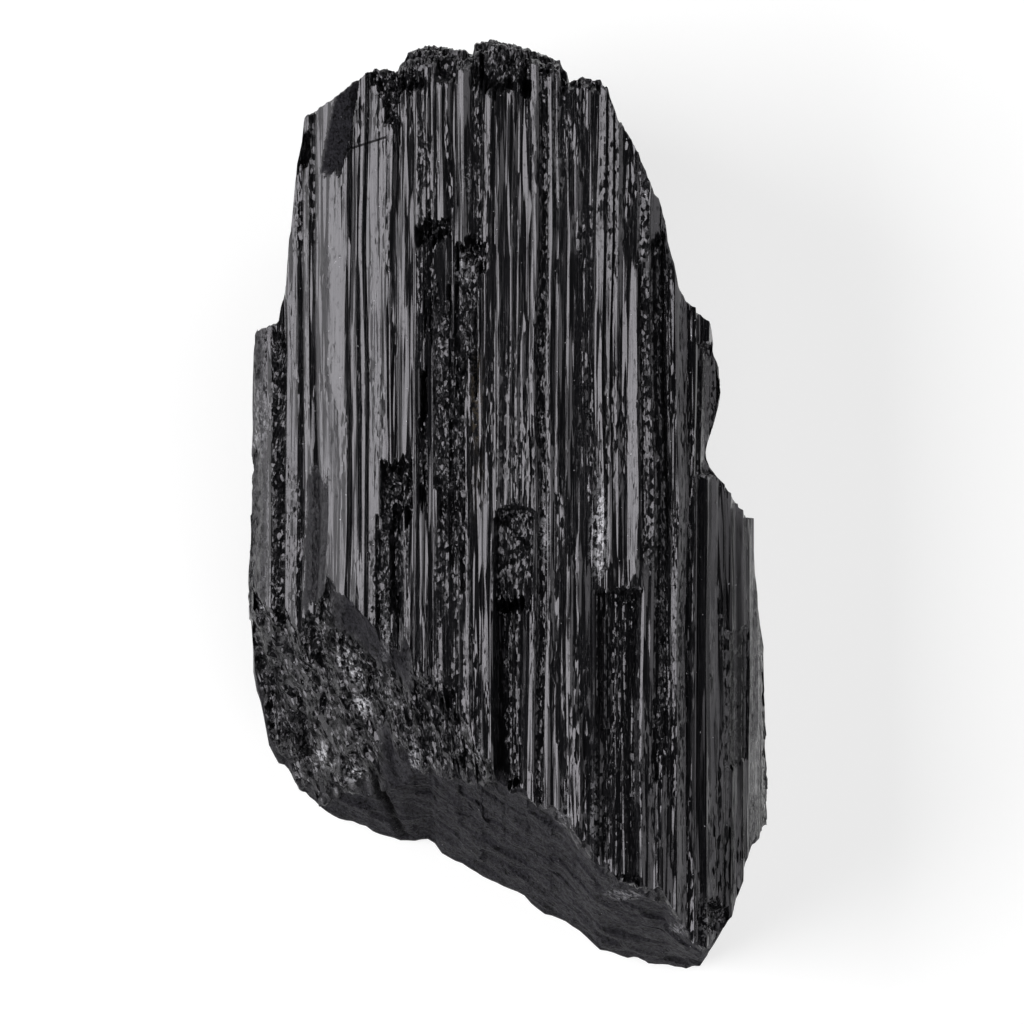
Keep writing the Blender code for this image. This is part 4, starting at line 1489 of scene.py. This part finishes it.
    def gloss(
        self, tree: bpy.types.NodeTree, place: bpy.types.NodeSocket, zones: dict[Zone, bpy.types.NodeSocket],
        dark: bpy.types.Node,
    ) -> bpy.types.NodeSocket:
        """Blends how strongly each surface reflects.

        Args:
            tree: the material's node tree.
            place: places in metres.
            zones: share of each zone.
            dark: the crack, and where shade is painted.

        Returns:
            The specular level.
        """
        pits = self.pits.spots(tree, self.pits.flecks(tree, place))
        clean, pitted = self.glassy_gloss
        value = add_node(tree, MIX, {"Factor": pits, "A": clean, "B": pitted})
        levels = (
            (zones[Zone.BROKEN], self.broken_gloss),
            (zones[Zone.DULL], self.dull_gloss),
            # the crack, and the painted shade, reflect little
            (dark, self.painted_shade_gloss),
        )
        for share, level in levels:
            value = add_node(tree, MIX, {"Factor": share, "A": value, "B": level})
        return value.outputs[0]

    def fine_relief(
        self, tree: bpy.types.NodeTree, place: bpy.types.NodeSocket, zones: dict[Zone, bpy.types.NodeSocket],
        patches: bpy.types.Node,
    ) -> bpy.types.NodeSocket:
        """Adds up the relief that is finer than the mesh.

        Args:
            tree: the material's node tree.
            place: places in metres.
            zones: share of each zone.
            patches: noise that says where thin lines show and where pits do.

        Returns:
            The surface direction.
        """
        add = partial(add_node, tree)
        broken, dull = zones[Zone.BROKEN], zones[Zone.DULL]
        spot = add("ShaderNodeSeparateXYZ", {0: place}).outputs
        aside = add(MATH, {0: spot["Z"], 1: self.unrolling}, operation="MULTIPLY")
        aside = add(MATH, {0: spot["X"], 1: aside}, operation="ADD")
        unrolled = add("ShaderNodeCombineXYZ", {"X": aside, "Y": spot["Y"]}).outputs[0]

        whole = add(MATH, {0: broken, 1: dull}, operation="MAXIMUM")
        lined = add(MATH, {0: 1.0, 1: zones[Zone.EVEN]}, operation="SUBTRACT")
        grown = add(MATH, {0: 1.0, 1: whole}, operation="SUBTRACT")
        grown = add(MATH, {0: grown, 1: lined}, operation="MULTIPLY")
        thin = add(MATH, {0: grown, 1: self.patches.spots(tree, patches)}, operation="MULTIPLY")
        bare = add(MATH, {0: 1.0, 1: patches}, operation="SUBTRACT")
        pitted = add(MATH, {0: self.bare.spots(tree, bare), 1: lined}, operation="MULTIPLY")
        rough = add(MATH, {0: broken, 1: self.broken_relief}, operation="MULTIPLY")
        matt = add(MATH, {0: dull, 1: self.dull_relief}, operation="MULTIPLY")
        rough = add(MATH, {0: rough, 1: matt}, operation="ADD")

        height = add(MATH, {0: self.broken_faces.facets(tree, place), 1: rough}, operation="MULTIPLY")
        layers = (
            (self.thin_lines.facets(tree, unrolled, "2D"), thin, self.thin_relief),
            (self.hair_lines.facets(tree, unrolled, "2D"), grown, self.hair_relief),
            (self.pitting.facets(tree, place), pitted, self.pitting_relief),
            (self.matt_grain.flecks(tree, place), dull, self.matt_relief),
        )
        for pattern, share, relief in layers:
            layer = add(MATH, {0: pattern, 1: share}, operation="MULTIPLY")
            layer = add(MATH, {0: layer, 1: relief}, operation="MULTIPLY")
            height = add(MATH, {0: height, 1: layer}, operation="ADD")
        return add("ShaderNodeBump", {"Height": height, "Strength": 1.0, "Distance": MM}).outputs[0]


@dataclass(frozen=True)
class Lamp:
    """A soft rectangular light that looks at the crystal.

    Args:
        name: what it is called.
        place: where it hangs, in metres.
        size: its two sides, in metres.
        power: its power in watts.
        aimed_at: height on the crystal that it looks at.
    """

    name: str
    place: Triple
    size: Pair
    power: float
    aimed_at: float = 0.015

    def build(self) -> None:
        """Adds the light to the scene."""
        light = bpy.data.lights.new(self.name, "AREA")
        light.shape = "RECTANGLE"
        light.size, light.size_y = self.size
        light.energy = self.power
        obj = bpy.data.objects.new(self.name, light)
        obj.location = self.place
        way = Vector((0, 0, self.aimed_at)) - obj.location
        obj.rotation_euler = way.to_track_quat("-Z", "Y").to_euler()
        bpy.context.scene.collection.objects.link(obj)


@dataclass
class Studio:
    """Floor, lights and the camera straight above.

    Args:
        lamps: the lights, of which the left one is the strongest.
        floor_half: half the side of the floor, in metres.
        paper: colour of the floor.
        paper_roughness: its roughness.
        paper_glow: its own light, which keeps it pale round the crystal.
        glow: strength of the surroundings at the horizon and overhead.
        glow_height: how high up they reach their overhead strength.
        camera_height: height of the camera, in metres.
        front_height: height of the crystal's front, which the frame is measured at.
        frame_width: width that the camera takes in there.
        sensor: width of the camera's sensor, in millimetres.
        aim: where the middle of the view lies.
    """

    lamps: list[Lamp] = field(default_factory=lambda: [
        Lamp("left_softbox", (-0.94, 0.0, 0.59), (1.1, 1.1), 18.8),
        Lamp("right_fill", (0.95, 0.0, 0.45), (1.3, 0.8), 3.8),
        Lamp("crown_fill", (0.45, 0.95, 0.60), (0.9, 0.6), 5.0),
        Lamp("foot_fill", (0.45, -0.95, 0.60), (0.9, 0.6), 5.0),
    ])
    floor_half: float = 3.0
    paper: str = "#b8b8b8"
    paper_roughness: float = 0.9
    paper_glow: float = 0.6
    glow: Pair = (0.5, 0.03)
    glow_height: float = 0.8
    camera_height: float = 1.6
    front_height: float = 0.016
    frame_width: float = 0.0995
    sensor: float = 36.0
    aim: Pair = (0.00044, -0.00045)

    def add_floor(self) -> None:
        """Lays matt pale paper, which gives the crystal a soft shadow and no mirror image."""
        bm = bmesh.new()
        bmesh.ops.create_grid(bm, x_segments=1, y_segments=1, size=self.floor_half)
        mesh = bpy.data.meshes.new("floor")
        bm.to_mesh(mesh)
        bm.free()
        floor = bpy.data.objects.new("floor", mesh)
        bpy.context.scene.collection.objects.link(floor)
        material = bpy.data.materials.new("floor_paper")
        material.use_nodes = True
        shader = material.node_tree.nodes["Principled BSDF"]
        shader.inputs["Base Color"].default_value = linear(self.paper)
        shader.inputs["Roughness"].default_value = self.paper_roughness
        shader.inputs["Emission Color"].default_value = linear("#ffffff")
        shader.inputs["Emission Strength"].default_value = self.paper_glow
        mesh.materials.append(material)

    def add_surroundings(self) -> None:
        """Makes surroundings that glow at the horizon and are dim overhead."""
        world = bpy.data.worlds.new("studio")
        world.use_nodes = True
        tree = world.node_tree
        way = add_node(tree, "ShaderNodeTexCoord").outputs["Generated"]
        height = add_node(tree, "ShaderNodeSeparateXYZ", {0: way}).outputs["Z"]
        low, high = self.glow
        glow = add_node(tree, RANGE, {
            "Value": height, "From Min": 0.0, "From Max": self.glow_height, "To Min": low, "To Max": high,
        })
        tree.links.new(glow.outputs[0], tree.nodes["Background"].inputs["Strength"])
        bpy.context.scene.world = world

    def add_camera(self) -> None:
        """Hangs the camera straight above the crystal."""
        data = bpy.data.cameras.new("camera")
        data.sensor_width = self.sensor
        data.lens = data.sensor_width * (self.camera_height - self.front_height) / self.frame_width
        data.clip_end = 10.0
        camera = bpy.data.objects.new("camera", data)
        camera.location = (*self.aim, self.camera_height)
        bpy.context.scene.collection.objects.link(camera)
        bpy.context.scene.camera = camera
        bpy.context.scene.view_settings.view_transform = "Standard"

    def build(self) -> None:
        """Sets up the whole studio."""
        self.add_floor()
        for lamp in self.lamps:
            lamp.build()
        self.add_surroundings()
        self.add_camera()


def main() -> None:
    """Builds the crystal over the frame, then the studio."""
    logging.basicConfig(level=logging.INFO, format="%(name)s: %(message)s")
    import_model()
    crystal = CrystalForm().build()
    crystal.data.materials.append(BlackTourmaline().material())
    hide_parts(NODE)
    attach(crystal, "root")
    Studio().build()


if __name__ == "__main__":
    main()
